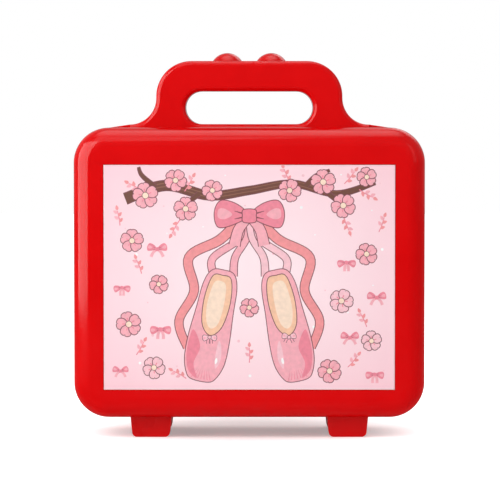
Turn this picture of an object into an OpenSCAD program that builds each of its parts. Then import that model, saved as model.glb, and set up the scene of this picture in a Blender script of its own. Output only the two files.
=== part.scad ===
// Musical ballerina jewellery case: a moulded carry case that stands on four feet.
// The front half is a door with a picture panel. Behind it a wind-up movement turns a dancer on
// a stage, beside shelves and hooks for jewellery. Millimetres, +Z up, front face towards -Y.
// The origin is under the middle of the part, on the surface that it stands on.

/* [Case] */
// Width of the case across the front
case_w = 210; // [204:1:226]
// Height of the case without its feet and handle
case_h = 173.5; // [168:0.5:190]
// Depth of the closed case, front face to back face
case_d = 84; // [82:1:96]
// Depth of the door half
door_d = 26; // [25:1:30]
// Radius of the four corners, seen from the front
corner_r = 21; // [16:0.5:22]
// Radius rolled round the front and back edges
edge_r = 11; // [8:0.5:12]
// Wall of both halves
wall = 2.4; // [2:0.1:3]
// Width of the shut line between the two halves
shut_line = 0.5; // [0.3:0.1:0.8]
// Wall behind the picture panel
face_wall = 3.4; // [3:0.1:4.5]
// Height of the feet
foot_h = 12; // [9:0.5:16]
// Width of a foot where it meets the case
foot_w = 24.6; // [20:0.5:30]
// Width that a foot loses on its way down
foot_taper = 2.4; // [1:0.2:4]
// Depth of a foot, front to back
foot_d = 14; // [11:0.5:15]
// Distance of each foot from the middle
foot_x = 59; // [50:1:66]

/* [Picture] */
// Width of the picture panel
picture_w = 173.4; // [160:0.2:175]
// Height of the picture panel
picture_h = 134; // [120:0.5:138]
// Height of the panel's lower edge above the underside of the case
picture_lift = 17.4; // [14:0.2:20]
// Thickness of the picture panel
picture_t = 1.2; // [0.8:0.1:1.5]

/* [Handle] */
// Width of the finger slot
slot_w = 77; // [72:0.5:84]
// Height of the finger slot
slot_h = 19.8; // [18:0.2:23]
// Thickness of the grip, seen from the front
grip_t = 18.3; // [17:0.1:21]
// Depth of the handle, front to back
handle_d = 30; // [26:1:32]
// Width of the handle above its flared feet
handle_w = 112.4; // [110:0.2:122]
// Radius of the handle's upper corners, seen from the front
handle_r = 21.3; // [18:0.1:22]
// Wall of the two handle halves
handle_wall = 2.2; // [1.8:0.1:2.6]
// Radius on the handle's edges
handle_e = 3; // [2:0.5:3.5]
// Rail of the handle under the slot
rail_h = 2; // [1.5:0.1:4]
// Radius of the curve from the handle down to the case
flare_r = 16; // [12:0.5:17]

/* [Buttons] */
// Radius of a dome where it comes out of the handle
dome_r = 8.9; // [7.5:0.1:9.2]
// Height of a dome above the handle
dome_h = 5; // [4:0.1:6]
// Distance between the two domes
dome_gap = 26.6; // [25:0.1:29]
// Travel of a button each way from the middle
press = 0.8; // [0.5:0.1:0.9]

/* [Inside] */
// Height of the stage above the underside of the case
stage_h = 50; // [49:0.5:56]
// Thickness of the inner panels
panel_t = 2; // [1.6:0.1:2.4]
// Distance of the divider from the middle
divider_x = 37; // [34:0.5:40]
// Height of the jewel shelf above the stage
shelf_h = 42; // [36:1:48]
// Width of the stage mirror
mirror_w = 74; // [64:1:80]
// Height of the stage mirror
mirror_h = 96; // [84:1:100]
// Height of the dancer above the turntable
dancer_h = 88; // [78:1:92]
// Radius of the turntable
table_r = 20; // [17:0.5:21]
// Depth of the ring cushion, front to back
cushion_d = 42; // [36:1:44]
// Height of the ring cushion
cushion_h = 15; // [12:0.5:18]
// Number of rolls on the ring cushion
cushion_rolls = 4; // [3:1:5]
// Gap under the tray, which lifts it off the floor
bin_lift = 6; // [4:0.5:8]
// Number of hooks on the necklace carousel
carousel_hooks = 6; // [5:1:8]
// Reach of the carousel's hooks from its pin
carousel_reach = 18; // [15:0.5:20]

/* [Door] */
// Number of hooks on the door's rail
rail_hooks = 6; // [4:1:7]
// Spacing of the hooks on the door's rail
hook_pitch = 22; // [18:0.5:26]
// Width of the door mirror
door_mirror_w = 130; // [110:1:150]
// Width of the chain pocket
pocket_w = 130; // [110:1:150]
// Height of the chain pocket
pocket_h = 20; // [16:0.5:24]
// Depth of the chain pocket, front to back
pocket_d = 15; // [12:0.5:16]

/* [Movement] */
// Tooth module of the whole gear train
gear_m = 0.8; // [0.76:0.01:0.82]
// Teeth on the crown of the spring drum
drum_teeth = 30; // [28:1:32]
// Teeth on the great wheel's rim
wheel_teeth = 30; // [28:1:31]
// Teeth on the great wheel's crown
crown_teeth = 24; // [22:1:24]
// Teeth on each pinion
pinion_teeth = 10; // [10:1:11]
// Teeth on the worm wheel
worm_teeth = 24; // [22:1:26]
// Number of comb teeth
comb_teeth = 18; // [14:1:20]
// Spacing of the comb teeth
comb_pitch = 1.4; // [1.3:0.02:1.46]
// Radius of the tune cylinder
cyl_r = 6.5; // [6:0.1:6.8]
// Height of the winding arbor above the underside of the case
arbor_h = 26; // [25:0.5:28]
// Radius of the winding arbor
arbor_r = 2; // [1.6:0.1:2.4]
// How far the winding key stands out behind the case
key_out = 16; // [14:0.5:20]
// Radius of the air fan
fan_r = 6; // [5:0.1:6]

/* [Hidden] */
$fn = 64;
fit = 0.3;      // clearance between pieces that move or drop in
run = 0.05;     // running clearance of a shaft in its bore, on the radius
eps = 0.01;

// Places across the case
total_d = case_d + key_out;
face_y = -total_d / 2;
part_y = face_y + door_d;
back_y = face_y + case_d;
back_in = back_y - wall;
mid_y = face_y + case_d / 2;
base_z = foot_h;
top_z = foot_h + case_h;
mid_z = foot_h + case_h / 2;
side_in = case_w / 2 - wall;
floor_in = base_z + wall;
top_in = top_z - wall;

// Handle
slot_r = slot_h / 2;
bend_x = slot_w / 2 - slot_r;
bend_z = top_z + rail_h + slot_r;
bend_drop = bend_z - top_z;
bend_out = slot_r + grip_t;
grip_top = bend_z + bend_out;
flare_lip = 1.8;
flare_x = handle_w / 2 + flare_r;
flare_y = flare_lip + flare_r - bend_drop;
ramp_w = 12;
core_in = slot_r + handle_wall;
core_out = bend_out - handle_wall;
leg_in = bend_x + core_in;
leg_out = handle_w / 2 - handle_wall;
screw_r = 1.1;
boss_r = 2.6;
grip_screw = [bend_x + 5.2, core_out - boss_r - 1.6];
leg_screw = [leg_out - boss_r - 1.4, -bend_drop + 4.6];
base_screw_x = handle_w / 2 + 5.6;

// Buttons, rocker and brake rod
flange_t = 1.5;
flange_r = dome_r + 1.3;
inner_top = grip_top - handle_wall;
flange_z = inner_top - press - fit - flange_t;
rocker_t = 2.4;
rocker_z = bend_z + core_in + (bend_x + 2) * press / (dome_gap / 2) + rocker_t / 2 + 0.8;
rocker_w = 5;
rod_r = 0.8;
rod_x = -(leg_in + 2.6);
rod_y = back_in - 1.3;
rod_bend_z = top_in - 10;
rod_step = -rod_x * press / (dome_gap / 2);
shoe_gap = 0.2;

// Inside walls
stage_z = base_z + stage_h;
shelf_z = stage_z + shelf_h;
backdrop_y = rod_y - rod_r - 0.5 - panel_t;
front_gap = 4;
inner_front = part_y + front_gap;
backdrop_top = rod_bend_z - 4;
bay_l = divider_x + panel_t / 2;

// Movement
axle_z = base_z + arbor_h;
bed_t = 3;
bed_y = back_in - bed_t;
pin_r = pinion_teeth * gear_m / 2;
drum_r = drum_teeth * gear_m / 2;
wheel_r = wheel_teeth * gear_m / 2;
crown_r = crown_teeth * gear_m / 2;
add = 0.8 * gear_m;
ded = 1.2 * gear_m;
slack = 0.16;
crown_t = 1.5;
pinion_w = 3;
wheel_t = 2;
cyl_y = mid_y + 12;
spindle_x = -32;
crown_x = spindle_x + pin_r;
wheel_x = crown_x + ded;
cyl_x0 = wheel_x + wheel_t + 0.5;
cyl_len = comb_teeth * comb_pitch + 0.8;
cyl_x1 = cyl_x0 + cyl_len;
ear_t = 2;
pin_x = cyl_x1 + ear_t + 2.2 + pinion_w / 2;
arbor_x = pin_x + drum_r;
drum_y = cyl_y + pin_r;
axle_r = 1.2;
spindle_r = 1.2;
governor_y = cyl_y + wheel_r + pin_r;
worm_m = 0.6;
worm_pitch = PI * worm_m;
worm_wheel_r = worm_teeth * worm_m / 2;
worm_core = 1.5;
worm_ecc = 0.5;
worm_z = axle_z + worm_wheel_r + worm_core;
worm_x = rod_x;
fan_y = governor_y - 11;
disc_r = 4.4;
disc_y = fan_y - 3;
rod_low_z = stage_z - panel_t - 3.8;

// Hinge and catch
hinge_r = 3;
hinge_pin_r = 1.5;
hinge_x = -case_w / 2 + hinge_r;
hinge_at = [base_z + 48, top_z - 48];
knuckle = 9;
groove = 6.6;
catch_x = side_in - 6;
catch_r = 4;
catch_t = 3;

// ---- Shared shapes ----

// Half section of a rolled edge: r wide, d deep, with radius e at the outer corner
module edge_section(r, d, e) {
    square([r, d - e]);
    square([r - e, d]);
    translate([r - e, d - e]) intersection() {
        circle(e);
        square(e);
    }
}

// Slab with rounded corners r, whose edge at its face (z = d) is rolled with radius e
module soft_slab(w, h, d, r, e) {
    for (turn = [0, 180]) rotate([0, 0, turn]) {
        translate([w / 2 - r, h / 2 - r, 0])
            rotate_extrude(angle = 90) edge_section(r, d, e);
        translate([-w / 2 + r, h / 2 - r, 0]) rotate([0, 0, 90])
            rotate_extrude(angle = 90) edge_section(r, d, e);
        translate([w / 2 - r, 0, 0]) rotate([90, 0, 0])
            linear_extrude(h - 2 * r, center = true) edge_section(r, d, e);
        translate([0, h / 2 - r, 0]) rotate([90, 0, 90])
            linear_extrude(w - 2 * r, center = true) edge_section(r, d, e);
    }
    translate([-w / 2 + r, -h / 2 + r, 0]) cube([w - 2 * r, h - 2 * r, d]);
}

// Flat rectangle with round corners
module round_rect(w, h, r) {
    square([w - 2 * r, h], center = true);
    square([w, h - 2 * r], center = true);
    for (x = [-1, 1], y = [-1, 1]) translate([x * (w / 2 - r), y * (h / 2 - r)]) circle(r);
}

// Half of the case, from the parting plane towards the front (side -1) or the back (side 1)
module half_slab(side, inset, front_inset, grow = 0) {
    d = (side < 0 ? door_d : case_d - door_d) - front_inset;
    translate([0, part_y - side * grow, mid_z]) mirror([0, side > 0 ? 1 : 0, 0]) rotate([90, 0, 0])
        soft_slab(case_w - 2 * inset, case_h - 2 * inset, d + grow, corner_r - inset,
                  edge_r - inset);
}

// A plate in the X-Z plane from y to y + t
module upright(y, t) {
    translate([0, y + t, 0]) rotate([90, 0, 0]) linear_extrude(t) children();
}

// Outline of the inside of the back half, seen from the front
module inside_outline(gap) {
    translate([0, mid_z])
        round_rect(2 * (side_in - gap), case_h - 2 * (wall + gap), corner_r - wall - gap);
}

// Plan of the inside of the back half, with its rolled rear corners
module inside_plan(gap) {
    r = edge_r - wall;
    difference() {
        translate([-side_in + gap, inner_front])
            square([2 * (side_in - gap), back_in - gap - inner_front]);
        for (s = [-1, 1]) difference() {
            translate([s * (side_in - r / 2) - r, back_in - r]) square([2 * r, 2 * r]);
            translate([s * (side_in - gap - r), back_in - gap - r]) circle(r);
            translate([s * (side_in - gap - r) - (s > 0 ? 2 * r : 0), back_in - 2 * r])
                square([2 * r, 3 * r]);
        }
    }
}

// A round bar along Y, from y0 to y1
module bar_y(x, z, r, y0, y1) {
    translate([x, y0, z]) rotate([-90, 0, 0]) cylinder(r = r, h = y1 - y0);
}

// A round bar along X, from x0 to x1
module bar_x(y, z, r, x0, x1) {
    translate([x0, y, z]) rotate([0, 90, 0]) cylinder(r = r, h = x1 - x0);
}

// Pan-head screw with its head's underside at z = 0 and its shank below
module pan_screw(r, len, head_r, head_h) {
    translate([0, 0, -len]) cylinder(r = r, h = len);
    difference() {
        cylinder(r = head_r, h = head_h);
        for (a = [0, 90]) rotate([0, 0, a])
            translate([-head_r * 0.7, -0.35, head_h * 0.45]) cube([head_r * 1.4, 0.7, head_h]);
    }
}

// ---- Gear shapes ----

function inv_deg(a) = tan(a) * 180 / PI - a;
// Half the angle that a tooth spans at radius r, for n teeth of module gear_m
function half_tooth(n, r) =
    let (rp = n * gear_m / 2, rb = rp * cos(20))
    90 / n - slack / 2 / rp * 180 / PI + inv_deg(20) - (r > rb ? inv_deg(acos(rb / r)) : 0);
function polar(r, a) = [r * cos(a), r * sin(a)];

// Outline of a spur gear with its first tooth on +X
module spur_outline(n) {
    rp = n * gear_m / 2;
    rr = rp - ded;
    rt = rp + add;
    rf = max(rr + 0.1, rp * cos(20));
    steps = [rr, rf, (rf + rp) / 2, rp, (rp + rt) / 2, rt];
    polygon([for (i = [0:n - 1]) each concat(
        [for (r = steps) polar(r, i * 360 / n - half_tooth(n, r))],
        [for (j = [len(steps) - 1:-1:0]) polar(steps[j], i * 360 / n + half_tooth(n, steps[j]))]
    )]);
}

// Crown teeth that point to +Z, with their pitch plane at z = 0 and the first tooth on +X
module crown_ring(n, back) {
    r = n * gear_m / 2;
    half = PI * gear_m / 4 - slack / 2;
    lean = tan(20);
    difference() {
        translate([0, 0, -ded - back]) cylinder(r = r + crown_t / 2, h = back + eps);
        translate([0, 0, -ded - back - 1]) cylinder(r = r - crown_t / 2, h = back + 2);
    }
    for (i = [0:n - 1]) rotate([0, 0, i * 360 / n]) translate([r - crown_t / 2, 0, 0])
        rotate([90, 0, 90]) linear_extrude(crown_t - 0.05) polygon([
            [-half - ded * lean, -ded - eps], [half + ded * lean, -ded - eps],
            [half - add * lean, add], [-half + add * lean, add]
        ]);
}

// ---- Case ----

// Both halves of the hinge: side 1 is the case's outer knuckles, -1 the door's middle one
module hinge_knuckles(side) {
    for (z = hinge_at) {
        places = side > 0 ? [z - 1.5 * knuckle, z + knuckle / 2 + fit] : [z - knuckle / 2 + fit];
        len = side > 0 ? knuckle : knuckle - fit;
        for (z0 = places) difference() {
            union() {
                translate([hinge_x, part_y, z0]) cylinder(r = hinge_r, h = len);
                translate([hinge_x - 0.6, part_y + (side > 0 ? 1.2 : -9), z0])
                    cube([hinge_r + 0.4, 7.8, len]);
            }
            translate([hinge_x, part_y, z0 - 1])
                cylinder(r = hinge_pin_r + (side > 0 ? 0.02 : run), h = len + 2);
        }
    }
}

// V-shaped relief along the hinge side, so that the door can swing
module hinge_relief() {
    flat = 0.5;
    translate([-case_w / 2, part_y, base_z - 1]) linear_extrude(case_h + 2) polygon([
        [-1, -groove - 1], [groove - flat, -flat], [groove - flat, flat], [-1, groove + 1]
    ]);
}

// Shut line round the door's rim, so that the halves meet with a shadow and not with their edges
module shut_groove() {
    depth = 0.9;
    translate([0, 0, mid_z]) upright(part_y - shut_line, shut_line + 1) difference() {
        square([case_w + 2, case_h + 2], center = true);
        round_rect(case_w - 2 * depth, case_h - 2 * depth, corner_r - depth);
    }
}

// Blocks that hold the magnet and its plate, and the scoop for a finger beside them
module catch_block(side) {
    depth = 8;
    y0 = side > 0 ? part_y + fit : part_y - depth - fit;
    difference() {
        translate([catch_x - 6, y0, mid_z - 7]) cube([side_in - catch_x + 6 + eps, depth, 14]);
        bar_y(catch_x, mid_z, catch_r, part_y - (side > 0 ? 0 : fit + catch_t + eps),
              part_y + (side > 0 ? fit + catch_t : 1));
    }
}

module finger_scoop() {
    reach = 20;
    translate([case_w / 2 + reach - 2, part_y, mid_z]) sphere(reach);
}

// Spigot holes of two feet at depth y
module foot_holes(y) {
    for (s = [-1, 1]) translate([s * foot_x, y, base_z - 1]) cylinder(r = 4 + run, h = wall + 2);
}

foot_front_y = face_y + edge_r + foot_d / 2;
foot_rear_y = back_y - edge_r - foot_d / 2;

// A foot: a tapering block with rounded lower corners and a spigot that presses into the case
module foot(x, y) {
    lean = atan2(foot_taper / 2, foot_h);
    r = 3;
    low = (foot_w - foot_taper) / 2;
    cx = low + r * tan(lean) - r / cos(lean);
    up = [cx + r * cos(lean), r - r * sin(lean)];
    translate([x, y + foot_d / 2, 0]) rotate([90, 0, 0]) linear_extrude(foot_d) {
        polygon([[-cx, 0], [cx, 0], up, [foot_w / 2, foot_h], [-foot_w / 2, foot_h], [-up[0], up[1]]]);
        for (s = [-1, 1]) translate([s * cx, r]) circle(r);
    }
    translate([x, y, foot_h - eps]) cylinder(r = 4, h = wall + 1.2);
}

module rear_feet() color("firebrick") {
    for (s = [-1, 1]) foot(s * foot_x, foot_rear_y);
}

module front_feet() color("firebrick") {
    for (s = [-1, 1]) foot(s * foot_x, foot_front_y);
}

// Lip inside the joint of the two halves, left open along the hinge
module case_lip() {
    lip_t = 1.2;
    difference() {
        translate([0, 0, mid_z]) upright(part_y - 2.5, 6) difference() {
            round_rect(2 * (side_in - fit), case_h - 2 * (wall + fit), corner_r - wall - fit);
            round_rect(2 * (side_in - fit - lip_t), case_h - 2 * (wall + fit + lip_t),
                       corner_r - wall - fit - lip_t);
        }
        translate([-case_w / 2 - 1, part_y - 4, base_z]) cube([corner_r + 6, 12, case_h]);
        translate([catch_x - 8, part_y - 4, mid_z - 9]) cube([20, 12, 18]);
    }
    // ties the lip to the wall behind the joint
    difference() {
        translate([0, 0, mid_z]) upright(part_y + 0.6, 2.9) difference() {
            round_rect(2 * side_in + 1, case_h - 2 * wall + 1, corner_r - wall);
            round_rect(2 * (side_in - fit - 0.2), case_h - 2 * (wall + fit + 0.2),
                       corner_r - wall - fit);
        }
        translate([-case_w / 2 - 1, part_y - 4, base_z]) cube([corner_r + 6, 12, case_h]);
        translate([catch_x - 8, part_y - 4, mid_z - 9]) cube([20, 12, 18]);
    }
}

screw_spots = [for (x = [spindle_x - 6, arbor_x + 13.5], z = [-10, 11]) [x, axle_z + z]];

module back_shell() color("crimson") {
    difference() {
        half_slab(1, 0, 0);
        half_slab(1, wall, wall, 1);
        hinge_relief();
        foot_holes(foot_rear_y);
        bar_y(arbor_x, axle_z, arbor_r + 0.4, back_in - 1, back_y + 1);
        for (p = screw_spots) bar_y(p[0], p[1], 1.3, back_in - 1, back_y + 1);
        translate([rod_x, mid_y, top_in - 1]) cylinder(r = rod_r + 1, h = wall + 2);
        for (s = [-1, 1]) translate([s * base_screw_x, mid_y, top_in - 1])
            cylinder(r = screw_r + 0.2, h = wall + 2);
        finger_scoop();
    }
    hinge_knuckles(1);
    case_lip();
    difference() {
        catch_block(1);
        finger_scoop();
    }
    // ledges that carry the stage deck
    for (s = [-1, 1])
        translate([s * (side_in - 2.5) - 2.5, inner_front + 8, stage_z - panel_t - 4])
            cube([5, 30, 4]);
}

module door_shell() color("crimson") {
    difference() {
        half_slab(-1, 0, 0);
        half_slab(-1, wall, face_wall, 1);
        hinge_relief();
        shut_groove();
        foot_holes(foot_front_y);
        translate([0, 0, base_z + picture_lift + picture_h / 2])
            upright(face_y - 1, 1 + picture_t + 0.2)
                square([picture_w + 2 * fit, picture_h + 2 * fit], center = true);
        finger_scoop();
    }
    hinge_knuckles(-1);
    difference() {
        catch_block(-1);
        finger_scoop();
    }
}

module hinge_pins() color("silver") {
    for (z = hinge_at) translate([hinge_x, part_y, z - 1.5 * knuckle - 1]) {
        cylinder(r = hinge_pin_r, h = 3 * knuckle + 2);
        translate([0, 0, -0.8]) cylinder(r = 2.3, h = 0.8);
    }
}

module catch_magnet() color("dimgray") {
    bar_y(catch_x, mid_z, catch_r - run, part_y + fit, part_y + fit + catch_t);
}

module catch_plate() color("silver") {
    bar_y(catch_x, mid_z, catch_r - run, part_y - fit - catch_t, part_y - fit);
}

module picture_panel() color("pink") {
    translate([0, 0, base_z + picture_lift + picture_h / 2]) upright(face_y + 0.2, picture_t)
        square([picture_w, picture_h], center = true);
}

// ---- Handle ----

// Puts a shape drawn round the slot's centre, with Z as depth, in its place on the case
module on_handle() {
    translate([0, mid_y, bend_z]) rotate([90, 0, 0]) children();
}

module slot_outline(grow) {
    square([2 * bend_x, 2 * (slot_r + grow)], center = true);
    for (s = [-1, 1]) translate([s * bend_x, 0]) circle(slot_r + grow);
}

// Section of the waste that leaves a rounded rim round the finger slot
module rim_section(d, e) {
    difference() {
        translate([slot_r - 1, d - e]) square([e + 1, e + 1]);
        translate([slot_r + e, d - e]) circle(e);
    }
}

module rim_waste(d, e) {
    for (turn = [0, 180]) rotate([0, 0, turn]) {
        translate([bend_x, 0, 0]) rotate([0, 0, -90]) rotate_extrude(angle = 180) rim_section(d, e);
        rotate([90, 0, 90]) linear_extrude(2 * bend_x, center = true) rim_section(d, e);
    }
}

// Curve from the handle's side down onto the case
module handle_flare(d, e) {
    translate([flare_x, flare_y, 0]) rotate([0, 0, 180]) rotate_extrude(angle = 90) {
        translate([flare_r + e, 0]) square([9 - e, d]);
        translate([flare_r, 0]) square([e, d - e]);
        translate([flare_r + e, d - e]) circle(e);
    }
    linear_extrude(d - e) polygon([
        [flare_x - 1, -bend_drop - 1], [flare_x - 1, -bend_drop + flare_lip],
        [flare_x, -bend_drop + flare_lip], [flare_x + ramp_w, -bend_drop],
        [flare_x + ramp_w, -bend_drop - 1]
    ]);
}

// Hollow body of one handle half, open at the split and at its foot
module handle_body() {
    d = handle_d / 2;
    h = bend_out + bend_drop + handle_r + 4;
    difference() {
        union() {
            difference() {
                union() {
                    translate([0, bend_out - h / 2, 0]) soft_slab(handle_w, h, d, handle_r, handle_e);
                    for (side = [0, 1]) mirror([side, 0, 0]) handle_flare(d, handle_e);
                }
                translate([0, bend_out - h / 2, -1]) linear_extrude(d - handle_wall + 1)
                    round_rect(handle_w - 2 * handle_wall, h - 2 * handle_wall,
                               handle_r - handle_wall);
            }
            linear_extrude(d - 1) slot_outline(handle_wall);
        }
        translate([0, 0, -1]) linear_extrude(d + 2) slot_outline(0);
        rim_waste(d, handle_e);
        translate([-case_w / 2, -bend_drop - h, -1]) cube([case_w, h, d + 2]);
    }
}

handle_screw_spots = [for (s = [-1, 1], p = [grip_screw, leg_screw]) [s * p[0], p[1]]];

// One half of the handle: half 1 faces the front and takes the screws, -1 the back
module handle_half(half) {
    depth = handle_d / 2;
    on_handle() difference() {
        union() {
            mirror([0, 0, half > 0 ? 0 : 1]) {
                handle_body();
                for (p = handle_screw_spots) translate([p[0], p[1], 0])
                    cylinder(r = boss_r, h = depth - 1);
                // post that holds one end of the rocker's pin
                translate([0, rocker_z - bend_z, rocker_w / 2 + fit])
                    cylinder(r = 2.4, h = depth - 1 - rocker_w / 2 - fit);
            }
        }
        for (p = handle_screw_spots) translate([p[0], p[1], 0]) {
            if (half > 0) translate([0, 0, -1]) cylinder(r = screw_r + 0.02, h = depth - 3);
            if (half < 0) translate([0, 0, -depth - 1]) cylinder(r = screw_r + 0.3, h = depth + 2);
            if (half < 0) translate([0, 0, -depth - 1]) cylinder(r = 2.4, h = 2.4);
        }
        translate([0, rocker_z - bend_z, half > 0 ? 0 : -depth + 4])
            cylinder(r = 1.02, h = depth - 4);
        for (s = [-1, 1]) translate([s * dome_gap / 2, core_out - 1, 0]) rotate([-90, 0, 0])
            cylinder(r = dome_r + fit, h = handle_wall + 3);
        for (s = [-1, 1]) translate([s * base_screw_x, -bend_drop - 1, 0]) rotate([-90, 0, 0])
            cylinder(r = screw_r, h = 4);
    }
}

module handle_front() color("red") handle_half(1);

module handle_rear() color("red") handle_half(-1);

module handle_screws() color("silver") {
    on_handle() for (p = handle_screw_spots)
        translate([p[0], p[1], -handle_d / 2 + 1.4]) mirror([0, 0, 1])
            pan_screw(screw_r, handle_d / 2 + 6, 2.1, 1.3);
    for (s = [-1, 1]) translate([s * base_screw_x, mid_y, top_in]) mirror([0, 0, 1])
        pan_screw(screw_r - 0.02, wall + 2.6, 2.4, 1.4);
}

module rocker_pin() color("silver") {
    on_handle() translate([0, rocker_z - bend_z, -handle_d / 2 + 5])
        cylinder(r = 1, h = handle_d - 10);
}

// ---- Buttons and brake ----

// A dome on a flange, with a stem down to the rocker
module button(s) {
    cap_r = (dome_r * dome_r + dome_h * dome_h) / (2 * dome_h);
    translate([s * dome_gap / 2, mid_y, 0]) {
        intersection() {
            translate([0, 0, grip_top + dome_h - cap_r]) sphere(cap_r);
            translate([0, 0, grip_top]) cylinder(r = dome_r, h = dome_h + 1);
        }
        translate([0, 0, flange_z + flange_t - eps])
            cylinder(r = dome_r, h = grip_top - flange_z - flange_t + 2 * eps);
        translate([0, 0, flange_z]) cylinder(r = flange_r, h = flange_t);
        stem_z = rocker_z + rocker_t / 2 + 0.15;
        translate([0, 0, stem_z]) cylinder(r = 1.6, h = flange_z - stem_z + eps);
    }
}

module play_button() color("red") button(1);

module stop_button() color("red") button(-1);

// Beam that passes one button's push to the other, and to the brake rod at its long end
module button_rocker() color("white") {
    fork = 2.6;
    translate([0, mid_y, rocker_z]) difference() {
        rotate([90, 0, 0]) linear_extrude(rocker_w, center = true) difference() {
            union() {
                translate([rod_x - 1.5, -rocker_t / 2])
                    square([dome_gap / 2 + 4 - rod_x + 1.5, rocker_t]);
                circle(2.6);
            }
            circle(1 + run);
        }
        translate([rod_x - 5, -fork / 2, -rocker_t]) cube([5, fork, 2 * rocker_t]);
        translate([rod_x, 0, -rocker_t]) cylinder(r = fork / 2, h = 2 * rocker_t);
    }
}

// One run of the stamped brake rod, seen from the side, with a round end at its far point
module rod_run(from, to) {
    low = [min(from[0], to[0]), min(from[1], to[1])];
    size = [abs(to[0] - from[0]), abs(to[1] - from[1])];
    flat = size[0] > size[1];
    translate(low - [flat ? 0 : rod_r, flat ? rod_r : 0])
        square([flat ? size[0] : 2 * rod_r, flat ? 2 * rod_r : size[1]]);
    translate(to) circle(rod_r);
}

// Cranked rod from the rocker down behind the stage to the felt shoe over the brake disc
module brake_rod() color("silver") {
    head_z = rocker_z + rocker_t / 2 + 0.35;
    foot_z = rocker_z - rocker_t / 2 - 0.35;
    shoe_z = worm_z + disc_r + shoe_gap + rod_step;
    shoe_y = disc_y + 0.75;
    path = [[mid_y, head_z + 0.6], [mid_y, rod_bend_z], [rod_y, rod_bend_z],
            [rod_y, rod_low_z], [shoe_y, rod_low_z]];
    translate([rod_x - rod_r, 0, 0]) rotate([90, 0, 90]) linear_extrude(2 * rod_r)
        for (i = [0:len(path) - 2]) rod_run(path[i], path[i + 1]);
    for (z = [head_z, foot_z - 1.2]) translate([rod_x, mid_y, z]) cylinder(r = 2, h = 1.2);
    translate([rod_x, shoe_y, shoe_z]) cylinder(r = 1.3, h = rod_low_z - shoe_z);
}

// ---- Stage and shelves ----

bush_r = 3;
bin_x0 = divider_x + 4;
bin_x1 = side_in - 10;
bin_t = 1.2;
bin_z = floor_in + bin_lift;
bin_h = stage_z - panel_t - 4.4 - bin_t - bin_z;

module stage_deck() color("white") {
    difference() {
        translate([0, 0, stage_z - panel_t]) linear_extrude(panel_t) inside_plan(fit);
        translate([spindle_x, cyl_y, stage_z - panel_t - 1]) cylinder(r = bush_r, h = panel_t + 2);
        translate([rod_x, rod_y, stage_z - panel_t - 1]) cylinder(r = rod_r + 0.6, h = panel_t + 2);
    }
}

window_x0 = worm_x - fan_r - 8;
window_x1 = arbor_x + drum_r + 4;
window_z0 = floor_in + 7;
window_z1 = stage_z - panel_t - 5;

// Front of the plinth, with a window for the movement and the mouth of the bin
module plinth_front() color("white") {
    difference() {
        upright(inner_front, panel_t) difference() {
            intersection() {
                inside_outline(fit);
                translate([-case_w / 2, 0]) square([case_w, stage_z - panel_t]);
            }
            translate([window_x0, window_z0])
                square([window_x1 - window_x0, window_z1 - window_z0]);
            translate([bin_x0, bin_z]) square([bin_x1 - bin_x0, bin_h]);
            // clears the lower hinge
            translate([-case_w / 2, hinge_at[0] - 1.5 * knuckle - fit]) square([6.4, 2 * knuckle]);
        }
        translate([window_x0 - 2, inner_front + 1, window_z0 - 2])
            cube([window_x1 - window_x0 + 4, 2, window_z1 - window_z0 + 4]);
    }
}

module movement_window() color("lightcyan", 0.4) {
    translate([window_x0 - 2 + fit / 2, inner_front + 1, window_z0 - 2 + fit / 2])
        cube([window_x1 - window_x0 + 4 - fit, 1, window_z1 - window_z0 + 4 - fit]);
}

// Open tray behind the mouth in the plinth
module trinket_bin() color("lightpink") {
    depth = back_in - 6 - inner_front - panel_t;
    difference() {
        translate([bin_x0 - bin_t, inner_front + panel_t, bin_z - bin_t])
            cube([bin_x1 - bin_x0 + 2 * bin_t, depth, bin_h + 2 * bin_t]);
        translate([bin_x0, inner_front + panel_t - 1, bin_z])
            cube([bin_x1 - bin_x0, depth - bin_t + 1, bin_h]);
    }
    // feet of the tray
    for (x = [bin_x0 + 4, bin_x1 - 12], y = [inner_front + 8, inner_front + 38])
        translate([x, y, floor_in]) cube([4, 4, bin_lift - bin_t + eps]);
}

module backdrop() color("lightpink") {
    upright(backdrop_y, panel_t) intersection() {
        inside_outline(3.2);
        translate([-side_in, stage_z])
            square([side_in + divider_x - panel_t / 2, backdrop_top - stage_z]);
    }
}

// Arched outline, w wide and h high, standing on y = 0
module arch(w, h) {
    translate([-w / 2, 0]) square([w, h - w / 2]);
    translate([0, h - w / 2]) circle(w / 2);
}

mirror_t = 1.5;
mirror_lift = 4;

module stage_mirror() color("lightsteelblue") {
    translate([spindle_x, 0, stage_z + mirror_lift]) upright(backdrop_y - mirror_t, mirror_t)
        arch(mirror_w, mirror_h);
}

module mirror_frame() color("gold") {
    rim = 3.5;
    translate([spindle_x, 0, stage_z]) difference() {
        upright(backdrop_y - mirror_t - 1.5, mirror_t + 1.5)
            arch(mirror_w + 2 * rim, mirror_h + rim + mirror_lift);
        translate([0, 0, mirror_lift]) upright(backdrop_y - mirror_t - 0.02, mirror_t + 1)
            arch(mirror_w + 0.1, mirror_h + 0.05);
        translate([0, 0, mirror_lift + 1]) upright(backdrop_y - mirror_t - 3, 4)
            arch(mirror_w - 2, mirror_h - 2);
    }
}

module divider_wall() color("white") {
    r = 12;
    h = top_in - fit - stage_z;
    depth = back_in - fit - inner_front;
    soft = edge_r - wall;
    translate([divider_x - panel_t / 2, 0, 0]) rotate([90, 0, 90]) linear_extrude(panel_t)
        difference() {
            union() {
                translate([inner_front, stage_z]) square([depth, h - soft]);
                translate([inner_front, stage_z]) square([depth - soft, h]);
                translate([inner_front + depth - soft, stage_z + h - soft]) circle(soft);
            }
            translate([inner_front, stage_z + h / 2]) circle(r);
        }
}

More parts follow.
